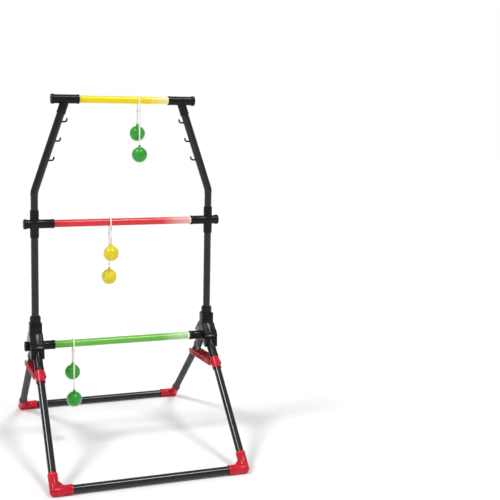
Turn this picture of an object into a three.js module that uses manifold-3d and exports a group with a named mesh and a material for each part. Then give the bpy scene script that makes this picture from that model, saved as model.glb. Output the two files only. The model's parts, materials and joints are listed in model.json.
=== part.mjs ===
// Ladder toss frame: a three-rung target ladder on two folding U-frames, with three bolas hung on it.
// Millimetres, +Z up, +X to the right, the throwing side faces -Y. The origin is on the floor,
// under the middle of the ladder.
import * as THREE from 'three';
import { mergeVertices } from 'three/addons/utils/BufferGeometryUtils.js';
import Module from 'manifold-3d';

const wasm = await Module();
wasm.setup();

// ---- driving dimensions ----
const UPRIGHT_X = 242;          // from the middle plane to an upright's axis
const TOP_X = 158;              // from the middle plane to where an arm's axis meets the top rung
const HINGE_Z = 283;            // bottom rung's axis, which is also the axis both U-frames fold about
const RUNG_PITCH = 330;         // from one rung's axis to the next
const BEND_ABOVE_MIDDLE = 85;   // from the middle rung's axis up to the arm's bend
const BEND_LENGTH = 8;         // straight length that the bend takes from each leg of the arm
const BAR_Y = 320;              // from the ladder's plane to a ground bar's axis

const GAP = 0.3;                // between two pieces that touch
const FIT = 0.5;                // round a tube in its socket, and round a pin in its hole
const OVERRUN = 1;              // how far a hole's cutter runs past the face that it opens
const SIDES = 16;               // of a tube's section
const SMALL_SIDES = 12;         // of a pin's or a hole's
const ARM_STEPS = 16;           // along an arm

const TUBE_R = 10;              // uprights, legs and ground bars
const TUBE_WALL = 1.5;
const ARM_R = 10.5;
const RUNG_R = 10;
const RUNG_WALL = 2;

const SOCKET_WALL = 1.5;        // round a rung
const SLEEVE_WALL = 1;          // round an arm
const SOCKET_INNER = 52;        // from the upright's axis to the socket's inner end
const SOCKET_OUTER = 26;        // from the upright's axis to the socket's outer end
const TEE_HALF = 36;            // half the length of a top tee
const RUNG_STOP = 6;            // from an upright's axis to where a rung's end stops
const LIP = 1.2;                // how far a socket's outer lip stands proud
const LIP_FLARE = 1.8;          // and how far at its very edge
const LIP_LENGTH = 5;
const BEAD = 0.6;               // the same for the bead at a socket's inner end
const BEAD_LENGTH = 7;
const CAP_THICK = 3;
const CAP_PLUG_LESS = 2.5;      // how much thinner a cap's plug is than the rung
const CAP_PLUG_LENGTH = 8;
const SLEEVE_HALF = 37;         // half the height of a cross connector
const SLEEVE_TAPER = 4;         // length of the taper at each end, and how much narrower it ends
const SLEEVE_NARROW = 0.5;
const SLEEVE_FLOOR = 3;         // between the rung's bore and an upright's end
const TEE_BRANCH = 40;          // from the top rung's axis down the arm to the branch's mouth
const BRANCH_LIP = 6;           // length of the lip at the branch's mouth
const TEE_STOP = 18;            // from the top rung's axis to where the arm's end stops

const HOOK_R = 2;
const HOOK_REACH = 13;          // from the arm's skin to the middle of the hook's upright
const HOOK_RISE = 10;
const HOOK_TURN = 5;            // straight length that the turn takes from each leg of the hook
const HOOK_ROOT = 3.8;          // how far a hook's root stands inside the arm's skin
const HOOK_DROP = 60;           // from the top rung's axis down to the first hook
const HOOK_PITCH = 51;
const HOOKS_PER_ARM = 3;

const MODULE_ROOM = 1.2;        // round the light module in the right end of each rung
const MODULE_LENGTH = 70;
const MODULE_INSET = 2;         // from the rung's end to the module's

const HUB_WALL = 6;           // round the upright in a hub's square body
const HUB_CORNER = 4.5;
const HUB_TOP = 64;             // heights from the hinge axis
const HUB_FLOOR = 4;            // between the room under the hood and the upright's end
const HOOD_TOP = 36;
const HOOD_ROOM = 3;            // between the knuckles' eyes and the roof of the room
const HOOD_EDGE = 3;            // from the hinge axis up to the hood's lower edge
const HOOD_REACH = 46;          // from the ladder's plane to the hood's front and back
const HOOD_LIP = 3;
const HOOD_LIP_HEIGHT = 5;
const HOOD_WALL = 4;
const ROOM_SPRING = 5;          // from the hinge axis up to where the room's roof begins to slope
const ROOM_LESS = 1;            // how much narrower than an eye the flat middle of that roof is, each side
const COLLAR_WALL = 4.2;
const COLLAR_HEIGHT = 18;
const COLLAR_CHAMFER = 1.5;
const COLLAR_CHAMFER_HEIGHT = 3;

const EYE_WALL = 4.5;           // of the knuckle eyes round the bottom rung's socket
const EYE_CLEAR = 1;            // between an eye and the other knuckle's socket
const KNUCKLE_HALF = 13;        // half the width that the two eyes share
const LEG_OFFSET = 13.3;        // from the hinge axis to a leg's axis
const LEG_SOCKET_WALL = 1.5;
const LEG_SOCKET_START = 18;    // distances down a leg, from the foot of the offset
const LEG_STOP = 40;
const LEG_SOCKET_END = 88;
const NECK_END = 30;            // where the neck between eye and socket ends, and half its width there
const NECK_HALF = 9;
const SKIRT_TOP = 1;            // from the hinge axis up to the front skirt's upper edge
const SKIRT_DROP = 25;          // and down to its lower edge
const SKIRT_LEAN = 2;           // how far the lower edge stands in front of the upper one
const SKIRT_FOOT = 14;          // front to back along the lower edge
const SKIRT_ROOM = 2;           // between the eyes and the skirt's back
const SKIRT_BACK_DROP = 4;      // from the hinge axis down to where the back begins to slope
const ELBOW_WALL = 2;
const ELBOW_ARM = 44;
const ELBOW_STOP = 16;
const FOOT_FLAT = 1;            // how much of an elbow's underside is flattened to stand on

const RUNNER_AT = 106;          // middle of the runner, down the front leg
const RUNNER_LENGTH = 34;
const RUNNER_WALL = 1.9;
const REAR_PIN_AT = 126;        // link's pin, down the rear leg
const LINK_PIN_R = 3;
const LINK_HEAD_R = 5;
const LINK_HEAD = 2;
const LINK_HEAD_CHAMFER = 1;
const LINK_THICK = 3;
const LINK_END_R = 8;
const LINK_BAR_HALF = 7.5;      // half the depth of a cheek between its round ends
const LINK_WEB = 3;
const LINK_WEB_FROM_REAR = 30;  // web's two ends, from the link's two pins
const LINK_WEB_FROM_FRONT = 52;

const BALL_R = 21;
const CORD_R = 2;
const CORD_LENGTH = 276;        // from ball centre to ball centre
const NUB_R = 4;
const NUB_TAPER = 1;
const NUB_HEIGHT = 5;

// ---- sizes and places that follow ----
const BORE_R = TUBE_R + FIT;
const SOCKET_R = RUNG_R + FIT + SOCKET_WALL;
const SLEEVE_R = Math.max(ARM_R, TUBE_R) + FIT + SLEEVE_WALL;
const CAP_PLUG_R = RUNG_R - CAP_PLUG_LESS;
const MODULE_R = RUNG_R - RUNG_WALL - MODULE_ROOM;
const COLLAR_R = BORE_R + COLLAR_WALL;
const HUB_HALF = BORE_R + HUB_WALL;
const HOOD_HALF_WIDTH = KNUCKLE_HALF + FIT + HOOD_WALL;
const EYE_R = SOCKET_R + FIT + EYE_WALL;
const HOOD_CEILING = EYE_R + HOOD_ROOM;
const HUB_TUBE_FLOOR = HOOD_CEILING + HUB_FLOOR;
const ROOM_HALF = EYE_R - ROOM_LESS;
const SKIRT_BACK = EYE_R + SKIRT_ROOM;
const LEG_SOCKET_R = BORE_R + LEG_SOCKET_WALL;
const ELBOW_R = BORE_R + ELBOW_WALL;
const RUNNER_R = BORE_R + RUNNER_WALL;
const LINK_INNER = Math.max(RUNNER_R, LEG_SOCKET_R) + FIT;
const MIDDLE_Z = HINGE_Z + RUNG_PITCH;
const TOP_Z = MIDDLE_Z + RUNG_PITCH;
const BEND_Z = MIDDLE_Z + BEND_ABOVE_MIDDLE;
const BAR_Z = ELBOW_R - FOOT_FLAT;
const LEG_REACH = Math.hypot(BAR_Y, HINGE_Z - BAR_Z);
const LEG_ANGLE = Math.atan2(BAR_Y, HINGE_Z - BAR_Z) - Math.asin(LEG_OFFSET / LEG_REACH);
const LEG_LENGTH = Math.sqrt(LEG_REACH ** 2 - LEG_OFFSET ** 2);

const black = (roughness) => new THREE.MeshStandardMaterial({ color: 0x202124, roughness, metalness: 0 });
const colours = {
  tube: black(0.55),
  fitting: black(0.35),
  grey: new THREE.MeshStandardMaterial({ color: 0x4b4d50, roughness: 0.6, metalness: 0 }),
  red: new THREE.MeshStandardMaterial({ color: 0xc4142b, roughness: 0.3, metalness: 0 }),
  steel: new THREE.MeshStandardMaterial({ color: 0xb8bcc0, roughness: 0.3, metalness: 1 }),
  circuit: new THREE.MeshStandardMaterial({ color: 0xe8ead8, roughness: 0.5, metalness: 0 }),
  cord: new THREE.MeshStandardMaterial({ color: 0xf2f2ee, roughness: 0.8, metalness: 0 }),
  yellow: new THREE.MeshStandardMaterial({ color: 0xe9d62a, roughness: 0.25, metalness: 0 }),
  rungRed: new THREE.MeshStandardMaterial({ color: 0xe23a3a, roughness: 0.25, metalness: 0 }),
  green: new THREE.MeshStandardMaterial({ color: 0x5fc24a, roughness: 0.25, metalness: 0 }),
};

const frame = new THREE.Group();

function add(name, geometry, material) {
  const mesh = new THREE.Mesh(geometry, material);
  mesh.name = name;
  frame.add(mesh);
}

// ---- solids ----
const at = (x, y, z) => new THREE.Vector3(x, y, z);

function solid(geometry) {
  const bare = geometry.clone();
  bare.deleteAttribute('normal');
  bare.deleteAttribute('uv');
  const merged = mergeVertices(bare, 1e-4);
  return new wasm.Manifold(new wasm.Mesh({
    numProp: 3,
    vertProperties: new Float32Array(merged.attributes.position.array),
    triVerts: new Uint32Array(merged.index.array),
  }));
}

function shape(manifold) {
  const mesh = manifold.getMesh();
  const geometry = new THREE.BufferGeometry();
  geometry.setAttribute('position', new THREE.BufferAttribute(mesh.vertProperties, 3));
  geometry.setIndex(new THREE.BufferAttribute(mesh.triVerts, 1));
  geometry.computeVertexNormals();
  return geometry;
}

const join = (...pieces) => pieces.reduce((whole, piece) => whole.add(piece));
const cut = (whole, ...holes) => holes.reduce((rest, hole) => rest.subtract(hole), whole);

// A round bar between two points, tapered if endRadius differs.
function rod(radius, from, to, endRadius = radius, sides = SIDES) {
  const along = to.clone().sub(from);
  const geometry = new THREE.CylinderGeometry(endRadius, radius, along.length(), sides);
  geometry.applyQuaternion(new THREE.Quaternion().setFromUnitVectors(at(0, 1, 0), along.clone().normalize()));
  const middle = from.clone().add(to).multiplyScalar(0.5);
  geometry.translate(middle.x, middle.y, middle.z);
  return solid(geometry);
}

function tube(radius, wall, from, to) {
  const over = to.clone().sub(from).normalize();
  const bore = rod(radius - wall, from.clone().sub(over), to.clone().add(over));
  return cut(rod(radius, from, to), bore);
}

// A flat outline of [y, z] corners, given width along X.
function slab(corners, fromX, toX) {
  const outline = new THREE.Shape(corners.map(([y, z]) => new THREE.Vector2(y, z)));
  const geometry = new THREE.ExtrudeGeometry(outline, { depth: Math.abs(toX - fromX), bevelEnabled: false });
  geometry.applyMatrix4(new THREE.Matrix4().makeBasis(at(0, 1, 0), at(0, 0, 1), at(1, 0, 0)));
  geometry.translate(Math.min(fromX, toX), 0, 0);
  return solid(geometry);
}

function roundedPost(half, corner, x, fromZ, toZ) {
  const outline = new THREE.Shape();
  outline.absarc(half - corner, half - corner, corner, 0, Math.PI / 2);
  outline.absarc(corner - half, half - corner, corner, Math.PI / 2, Math.PI);
  outline.absarc(corner - half, corner - half, corner, Math.PI, Math.PI * 1.5);
  outline.absarc(half - corner, corner - half, corner, Math.PI * 1.5, Math.PI * 2);
  const geometry = new THREE.ExtrudeGeometry(outline,
    { depth: toZ - fromZ, bevelEnabled: false, curveSegments: 4 });
  geometry.translate(x, 0, fromZ);
  return solid(geometry);
}

// A bar of round section along a curve. An arc of a full turn is drawn as two halves.
function sweep(radius, curve, steps, sides) {
  const section = new THREE.Shape();
  section.absarc(0, 0, radius, 0, Math.PI * 2);
  const geometry = new THREE.ExtrudeGeometry(section,
    { steps, curveSegments: sides / 2, extrudePath: curve, bevelEnabled: false });
  return solid(geometry);
}

// ---- ladder ----
const sockets = { x: UPRIGHT_X, inner: SOCKET_INNER, outer: SOCKET_OUTER };
const levels = [
  { name: 'top', z: TOP_Z, x: TOP_X, inner: TEE_HALF, outer: TEE_HALF, colour: colours.yellow },
  { name: 'middle', z: MIDDLE_Z, ...sockets, colour: colours.rungRed },
  { name: 'bottom', z: HINGE_Z, ...sockets, colour: colours.green },
];
const [top, middle, bottom] = levels;

// A rung's socket across an upright: a barrel with a flared lip outside and a bead inside.
function socketBarrel(level, side) {
  const outer = side * (level.x + level.outer);
  const inner = side * (level.x - level.inner);
  const point = (x) => at(x, 0, level.z);
  return join(
    rod(SOCKET_R, point(inner), point(outer)),
    rod(SOCKET_R + LIP, point(outer - side * LIP_LENGTH), point(outer), SOCKET_R + LIP_FLARE),
    rod(SOCKET_R + BEAD, point(inner), point(inner + side * BEAD_LENGTH)),
  );
}

// The hole through that barrel: the rung's bore, then the smaller one for the cap.
function socketBore(level, side) {
  const point = (x) => at(side * x, 0, level.z);
  return join(
    rod(RUNG_R + FIT, point(level.x - level.inner - OVERRUN), point(level.x - RUNG_STOP + GAP)),
    rod(CAP_PLUG_R + FIT, point(level.x - RUNG_STOP - OVERRUN), point(level.x + level.outer + OVERRUN)),
  );
}

function rung(level) {
  const end = level.x - RUNG_STOP;
  return tube(RUNG_R, RUNG_WALL, at(-end, 0, level.z), at(end, 0, level.z));
}

function rungCap(level, side) {
  const face = level.x + level.outer + GAP;
  const point = (x) => at(side * x, 0, level.z);
  return join(
    rod(SOCKET_R + LIP, point(face), point(face + CAP_THICK), SOCKET_R),
    rod(CAP_PLUG_R, point(face - CAP_PLUG_LENGTH), point(face + CAP_THICK / 2)),
  );
}

function lightModule(level) {
  const end = level.x - RUNG_STOP - MODULE_INSET;
  return rod(MODULE_R, at(end - MODULE_LENGTH, 0, level.z), at(end, 0, level.z));
}

const SLEEVE_STOP = RUNG_R + FIT + SLEEVE_FLOOR + GAP;

function cross(side) {
  const x = side * UPRIGHT_X;
  const point = (z) => at(x, 0, MIDDLE_Z + z);
  const stop = SLEEVE_STOP - GAP;
  const straight = SLEEVE_HALF - SLEEVE_TAPER;
  const mouth = SLEEVE_R - SLEEVE_NARROW;
  const body = join(
    socketBarrel(middle, side),
    rod(SLEEVE_R, point(-straight), point(straight)),
    rod(SLEEVE_R, point(straight), point(SLEEVE_HALF), mouth),
    rod(mouth, point(-SLEEVE_HALF), point(-straight), SLEEVE_R),
  );
  return cut(body,
    socketBore(middle, side),
    rod(BORE_R, point(-SLEEVE_HALF - OVERRUN), point(-stop)),
    rod(ARM_R + FIT, point(stop), point(SLEEVE_HALF + OVERRUN)));
}

function upright(side) {
  const point = (z) => at(side * UPRIGHT_X, 0, z);
  return tube(TUBE_R, TUBE_WALL, point(HINGE_Z + HUB_TUBE_FLOOR + GAP), point(MIDDLE_Z - SLEEVE_STOP));
}

// From the bend up the slope to the top rung's axis.
const slope = (side) => at(side * (TOP_X - UPRIGHT_X), 0, TOP_Z - BEND_Z).normalize();
const onSlope = (side, fromTop) => at(side * TOP_X, 0, TOP_Z).addScaledVector(slope(side), -fromTop);

function armCurve(side) {
  const bend = at(side * UPRIGHT_X, 0, BEND_Z);
  const before = bend.clone().add(at(0, 0, -BEND_LENGTH));
  const after = bend.clone().addScaledVector(slope(side), BEND_LENGTH);
  const curve = new THREE.CurvePath();
  curve.add(new THREE.LineCurve3(at(side * UPRIGHT_X, 0, MIDDLE_Z + SLEEVE_STOP), before));
  curve.add(new THREE.QuadraticBezierCurve3(before, bend, after));
  curve.add(new THREE.LineCurve3(after, onSlope(side, TEE_STOP + GAP)));
  return curve;
}

// A hook leaves the arm's skin on the inner side, then turns up.
function hookPoints(side, index) {
  const fromTop = (HOOK_DROP + index * HOOK_PITCH) / slope(side).z;
  const axis = onSlope(side, fromTop);
  const skin = ARM_R / slope(side).z;
  const point = (out, up) => at(axis.x - side * (skin + out), 0, axis.z + up);
  return { root: point(-HOOK_ROOT, 0), knee: point(HOOK_REACH, 0), tip: point(HOOK_REACH, HOOK_RISE) };
}

function hook(side, index) {
  const { root, knee, tip } = hookPoints(side, index);
  const before = knee.clone().add(at(side * HOOK_TURN, 0, 0));
  const after = knee.clone().add(at(0, 0, HOOK_TURN));
  const curve = new THREE.CurvePath();
  curve.add(new THREE.LineCurve3(root, before));
  curve.add(new THREE.QuadraticBezierCurve3(before, knee, after));
  curve.add(new THREE.LineCurve3(after, tip));
  return sweep(HOOK_R, curve, 10, 8);
}

function arm(side) {
  const curve = armCurve(side);
  const holes = Array.from({ length: HOOKS_PER_ARM }, (_, index) => {
    const { root, knee } = hookPoints(side, index);
    const inside = root.clone().add(at(side * (FIT + OVERRUN), 0, 0));
    return rod(HOOK_R + FIT, inside, knee, HOOK_R + FIT, SMALL_SIDES);
  });
  const bore = sweep(ARM_R - TUBE_WALL, lengthened(curve), ARM_STEPS, 8);
  return cut(sweep(ARM_R, curve, ARM_STEPS, SMALL_SIDES), bore, ...holes);
}

// The same curve, run past both ends so that its bore opens them.
function lengthened(curve) {
  const start = curve.getPointAt(0);
  const end = curve.getPointAt(1);
  const longer = new THREE.CurvePath();
  longer.add(new THREE.LineCurve3(start.clone().sub(curve.getTangentAt(0)), start));
  curve.curves.forEach((piece) => longer.add(piece));
  longer.add(new THREE.LineCurve3(end, end.clone().add(curve.getTangentAt(1))));
  return longer;
}

function tee(side) {
  const centre = at(side * TOP_X, 0, TOP_Z);
  const mouth = onSlope(side, TEE_BRANCH);
  const body = join(
    socketBarrel(top, side),
    rod(SLEEVE_R, mouth, centre),
    rod(SLEEVE_R + LIP, mouth, onSlope(side, TEE_BRANCH - BRANCH_LIP)),
  );
  return cut(body,
    socketBore(top, side),
    rod(ARM_R + FIT, onSlope(side, TEE_BRANCH + OVERRUN), onSlope(side, TEE_STOP)));
}

// ---- hubs ----
function hub(side) {
  const x = side * UPRIGHT_X;
  const z = HINGE_Z;
  const lip = HOOD_REACH + HOOD_LIP;
  const ledge = z + HOOD_EDGE + HOOD_LIP_HEIGHT;
  const inside = HOOD_REACH - HOOD_WALL;
  const hood = [
    [-HUB_HALF, z + HOOD_TOP], [-HOOD_REACH, ledge], [-lip, ledge], [-lip, z + HOOD_EDGE],
    [lip, z + HOOD_EDGE], [lip, ledge], [HOOD_REACH, ledge], [HUB_HALF, z + HOOD_TOP],
  ];
  const room = [
    [-ROOM_HALF, z + HOOD_CEILING], [-inside, z + ROOM_SPRING], [-inside, z - 2 * EYE_R],
    [inside, z - 2 * EYE_R], [inside, z + ROOM_SPRING], [ROOM_HALF, z + HOOD_CEILING],
  ];
  const cheeks = rod(EYE_R, at(x - HOOD_HALF_WIDTH, 0, z), at(x + HOOD_HALF_WIDTH, 0, z));
  const shell = join(
    roundedPost(HUB_HALF, HUB_CORNER, x, z + HOOD_CEILING, z + HUB_TOP),
    slab(hood, x - HOOD_HALF_WIDTH, x + HOOD_HALF_WIDTH),
    cheeks,
  );
  const hollow = cut(shell, slab(room, x - KNUCKLE_HALF - FIT, x + KNUCKLE_HALF + FIT));
  return cut(join(hollow, socketBarrel(bottom, side)),
    socketBore(bottom, side),
    rod(BORE_R, at(x, 0, z + HUB_TUBE_FLOOR), at(x, 0, z + HUB_TOP + OVERRUN)));
}

function hubCollar(side) {
  const x = side * UPRIGHT_X;
  const point = (z) => at(x, 0, HINGE_Z + HUB_TOP + z);
  const shoulder = COLLAR_HEIGHT - COLLAR_CHAMFER_HEIGHT;
  const ring = join(
    rod(COLLAR_R, point(GAP), point(shoulder)),
    rod(COLLAR_R, point(shoulder), point(COLLAR_HEIGHT), COLLAR_R - COLLAR_CHAMFER),
  );
  return cut(ring, rod(BORE_R, point(0), point(COLLAR_HEIGHT + OVERRUN)));
}

// ---- folding legs ----
// way is -1 for the front U-frame and +1 for the rear one. A place on a leg is given by its distance
// down the leg and its distance outwards from the hinge axis.
function onLeg(side, way, down, out = LEG_OFFSET) {
  const y = way * (down * Math.sin(LEG_ANGLE) + out * Math.cos(LEG_ANGLE));
  const z = HINGE_Z - down * Math.cos(LEG_ANGLE) + out * Math.sin(LEG_ANGLE);
  return at(side * UPRIGHT_X, y, z);
}

// The front frame's eyes take the outer half of each hub, and the rear frame's the inner half.
function eyeHalf(side, way) {
  const facing = side * -way;
  const x = side * UPRIGHT_X;
  return [x + facing * GAP / 2, x + facing * KNUCKLE_HALF];
}

function knuckle(side, way) {
  const [from, to] = eyeHalf(side, way);
  const x = side * UPRIGHT_X;
  const pin = (a, b, radius) => rod(radius, at(a, 0, HINGE_Z), at(b, 0, HINGE_Z));
  const corner = (down, out) => {
    const place = onLeg(side, way, down, out);
    return [place.y, place.z];
  };
  const neck = slab([
    corner(0, EYE_R - FIT), corner(0, 0),
    corner(NECK_END, LEG_OFFSET - NECK_HALF), corner(NECK_END, LEG_OFFSET + NECK_HALF),
  ], from, to);
  let body = rod(LEG_SOCKET_R, onLeg(side, way, LEG_SOCKET_START), onLeg(side, way, LEG_SOCKET_END));
  if (way < 0) {
    const toe = -HOOD_REACH - SKIRT_LEAN;
    const skirt = slab([
      [-HOOD_REACH, HINGE_Z + SKIRT_TOP], [toe, HINGE_Z - SKIRT_DROP],
      [toe + SKIRT_FOOT, HINGE_Z - SKIRT_DROP],
      [-SKIRT_BACK, HINGE_Z - SKIRT_BACK_DROP], [-SKIRT_BACK, HINGE_Z + SKIRT_TOP],
    ], x - HOOD_HALF_WIDTH, x + HOOD_HALF_WIDTH);
    body = join(body, skirt);
  }
  const wide = KNUCKLE_HALF * 2;
  const clear = cut(body, pin(x - wide, x + wide, EYE_R + EYE_CLEAR));
  const eye = pin(from, to, EYE_R);
  return cut(join(clear, eye, neck),
    pin(x - wide, x + wide, SOCKET_R + FIT),
    rod(BORE_R, onLeg(side, way, LEG_STOP - GAP), onLeg(side, way, LEG_SOCKET_END + OVERRUN)));
}

// The hole for a link's pin across a rear leg, reaching as far as it is asked to on each hand.
function pinHole(side, reach) {
  const pin = onLeg(side, 1, REAR_PIN_AT);
  const end = (x) => pin.clone().add(at(x, 0, 0));
  return rod(LINK_PIN_R + FIT, end(-reach), end(reach), LINK_PIN_R + FIT, SMALL_SIDES);
}

function leg(side, way) {
  const foot = onLeg(side, way, LEG_LENGTH - ELBOW_STOP - GAP);
  const skin = tube(TUBE_R, TUBE_WALL, onLeg(side, way, LEG_STOP), foot);
  return way < 0 ? skin : cut(skin, pinHole(side, TUBE_R + OVERRUN));
}

function elbow(side, way) {
  const corner = onLeg(side, way, LEG_LENGTH);
  const inward = (distance) => corner.clone().add(at(-side * distance, 0, 0));
  const upward = (distance) => onLeg(side, way, LEG_LENGTH - distance);
  const ball = new THREE.SphereGeometry(ELBOW_R, SIDES, SMALL_SIDES);
  ball.translate(corner.x, corner.y, corner.z);
  const body = join(
    solid(ball),
    rod(ELBOW_R, corner, inward(ELBOW_ARM)),
    rod(ELBOW_R, corner, upward(ELBOW_ARM)),
  );
  const floor = new THREE.BoxGeometry(ELBOW_ARM * 4, ELBOW_ARM * 4, ELBOW_R);
  floor.translate(corner.x, corner.y, -ELBOW_R / 2);
  return cut(body,
    solid(floor),
    rod(BORE_R, inward(ELBOW_STOP), inward(ELBOW_ARM + OVERRUN)),
    rod(BORE_R, upward(ELBOW_STOP), upward(ELBOW_ARM + OVERRUN)));
}

function groundBar(way) {
  const end = UPRIGHT_X - ELBOW_STOP - GAP;
  return tube(TUBE_R, TUBE_WALL, at(-end, way * BAR_Y, BAR_Z), at(end, way * BAR_Y, BAR_Z));
}

function runner(side) {
  const half = RUNNER_LENGTH / 2;
  const place = (from) => onLeg(side, -1, RUNNER_AT + from);
  const bore = rod(BORE_R, place(-half - OVERRUN), place(half + OVERRUN));
  return cut(rod(RUNNER_R, place(-half), place(half)), bore);
}

// The link is a channel: two cheeks outside the legs, joined by a web where no leg passes.
function link(side) {
  const x = side * UPRIGHT_X;
  const front = onLeg(side, -1, RUNNER_AT);
  const rear = onLeg(side, 1, REAR_PIN_AT);
  const along = front.clone().sub(rear);
  const length = along.length();
  along.normalize();
  const across = at(0, -along.z, along.y);
  const corner = (distance, off) => {
    const place = rear.clone().addScaledVector(along, distance).addScaledVector(across, off);
    return [place.y, place.z];
  };
  const bar = [corner(0, LINK_BAR_HALF), corner(length, LINK_BAR_HALF),
    corner(length, -LINK_BAR_HALF), corner(0, -LINK_BAR_HALF)];
  const cheeks = [-1, 1].flatMap((hand) => {
    const from = x + hand * LINK_INNER;
    const to = from + hand * LINK_THICK;
    const disc = (pin, radius, a, b) => rod(radius, at(a, pin.y, pin.z), at(b, pin.y, pin.z));
    return [slab(bar, from, to), disc(front, LINK_END_R, from, to), disc(rear, LINK_END_R, from, to),
      disc(front, LINK_HEAD_R, to, to + hand * LINK_HEAD)];
  });
  const web = slab([
    corner(LINK_WEB_FROM_REAR, LINK_WEB / 2), corner(length - LINK_WEB_FROM_FRONT, LINK_WEB / 2),
    corner(length - LINK_WEB_FROM_FRONT, -LINK_WEB / 2), corner(LINK_WEB_FROM_REAR, -LINK_WEB / 2),
  ], x - LINK_INNER - LINK_THICK / 2, x + LINK_INNER + LINK_THICK / 2);
  return cut(join(...cheeks, web), pinHole(side, LINK_INNER + LINK_THICK + OVERRUN));
}

function linkPin(side) {
  const centre = onLeg(side, 1, REAR_PIN_AT);
  const face = LINK_INNER + LINK_THICK + GAP;
  const point = (x) => centre.clone().add(at(x, 0, 0));
  const headEnd = LINK_HEAD_R - LINK_HEAD_CHAMFER;
  const head = (hand) => rod(LINK_HEAD_R, point(hand * face), point(hand * (face + LINK_HEAD)),
    headEnd, SMALL_SIDES);
  const reach = face + LINK_HEAD / 2;
  return join(rod(LINK_PIN_R, point(-reach), point(reach), LINK_PIN_R, SMALL_SIDES), head(-1), head(1));
}

// ---- bolas: two balls on one cord, thrown over a rung ----
const bolas = [
  { name: 'top', level: top, x: 40, upperDrop: 90, upperWay: 1, colour: colours.green },
  { name: 'middle', level: middle, x: -38, upperDrop: 84, upperWay: -1, colour: colours.yellow },
  { name: 'bottom', level: bottom, x: -140, upperDrop: 84, upperWay: 1, colour: colours.green },
];

// A cord's route over its rung, as [towards the upper ball, up] from the rung's axis. From both of
// its ends the cord hangs straight down to a ball.
const OVER_RUNG = [
  [12.5, -6], [12.5, 0], [12.1, 3.2], [10.8, 6.3], [8.8, 8.8], [6.3, 10.8], [3.2, 12.1], [0, 12.5],
  [-3.2, 12.1], [-6.3, 10.8], [-8.8, 8.8], [-10.8, 6.3], [-12.1, 3.2], [-12.5, 0], [-12.5, -6],
];
const HANG_Y = OVER_RUNG[0][0];
const ON_THE_WAY_DOWN = [0.2, 0.4, 0.6, 0.8];

function bolaBalls(bola) {
  const lowerDrop = CORD_LENGTH - Math.PI * HANG_Y - bola.upperDrop;
  const centre = (way, drop) => at(bola.x, way * HANG_Y, bola.level.z - drop);
  return { upper: centre(bola.upperWay, bola.upperDrop), lower: centre(-bola.upperWay, lowerDrop) };
}

function bolaCord(bola) {
  const { upper, lower } = bolaBalls(bola);
  const nubTop = at(0, 0, BALL_R + NUB_HEIGHT + GAP);
  const over = OVER_RUNG.map(([along, up]) => at(bola.x, bola.upperWay * along, bola.level.z + up));
  const start = upper.clone().add(nubTop);
  const end = lower.clone().add(nubTop);
  const strand = (from, to) => ON_THE_WAY_DOWN.map((share) => from.clone().lerp(to, share));
  const route = [start, ...strand(start, over[0]), ...over, ...strand(over[over.length - 1], end), end];
  return sweep(CORD_R, new THREE.CatmullRomCurve3(route, false, 'centripetal'), 44, 8);
}

function ball(centre) {
  const sphere = new THREE.SphereGeometry(BALL_R, SIDES, 10);
  sphere.rotateX(Math.PI / 2);
  sphere.translate(centre.x, centre.y, centre.z);
  const above = (height) => centre.clone().add(at(0, 0, height));
  const nubEnd = NUB_R - NUB_TAPER;
  const nub = rod(NUB_R, above(BALL_R - NUB_HEIGHT), above(BALL_R + NUB_HEIGHT), nubEnd, SMALL_SIDES);
  return join(solid(sphere), nub);
}

// ---- assembly ----
const sides = [['left', -1], ['right', 1]];
const ways = [['front', -1], ['rear', 1]];

for (const level of levels) {
  add(`rung_${level.name}`, shape(rung(level)), level.colour);
  add(`light_module_${level.name}`, shape(lightModule(level)), colours.circuit);
}
for (const [sideName, side] of sides) {
  add(`upright_${sideName}`, shape(upright(side)), colours.tube);
  add(`cross_${sideName}`, shape(cross(side)), colours.fitting);
  add(`arm_${sideName}`, shape(arm(side)), colours.tube);
  add(`tee_${sideName}`, shape(tee(side)), colours.fitting);
  add(`hub_${sideName}`, shape(hub(side)), colours.fitting);
  add(`hub_collar_${sideName}`, shape(hubCollar(side)), colours.fitting);
  for (const level of levels) {
    add(`rung_cap_${level.name}_${sideName}`, shape(rungCap(level, side)), colours.fitting);
  }
  for (let index = 0; index < HOOKS_PER_ARM; index += 1) {
    add(`hook_${sideName}_${index + 1}`, shape(hook(side, index)), colours.fitting);
  }
  for (const [wayName, way] of ways) {
    add(`knuckle_${wayName}_${sideName}`, shape(knuckle(side, way)), colours.fitting);
    add(`leg_${wayName}_${sideName}`, shape(leg(side, way)), way < 0 ? colours.tube : colours.grey);
    add(`elbow_${wayName}_${sideName}`, shape(elbow(side, way)), colours.red);
  }
  add(`runner_${sideName}`, shape(runner(side)), colours.red);
  add(`link_${sideName}`, shape(link(side)), colours.red);
  add(`link_pin_${sideName}`, shape(linkPin(side)), colours.steel);
}
ways.forEach(([wayName, way]) => add(`ground_bar_${wayName}`, shape(groundBar(way)), colours.tube));
for (const bola of bolas) {
  const balls = bolaBalls(bola);
  add(`bola_cord_${bola.name}`, shape(bolaCord(bola)), colours.cord);
  add(`ball_${bola.name}_upper`, shape(ball(balls.upper)), bola.colour);
  add(`ball_${bola.name}_lower`, shape(ball(balls.lower)), bola.colour);
}

export default frame;
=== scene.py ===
# %% [markdown]
# # A ladder toss frame
# A ladder toss frame is a target for a garden game: three coloured rungs between two uprights, on two
# U-shaped leg frames that fold. Players throw bolas, which are two balls on a cord, at the rungs.
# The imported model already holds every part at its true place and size, so it is loaded first, and
# everything that follows is built around it in metres.

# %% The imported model
import json
from math import atan2, cos, degrees, hypot, pi, radians, sin, tan

import bmesh
import bpy
from mathutils import Matrix, Vector


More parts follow.
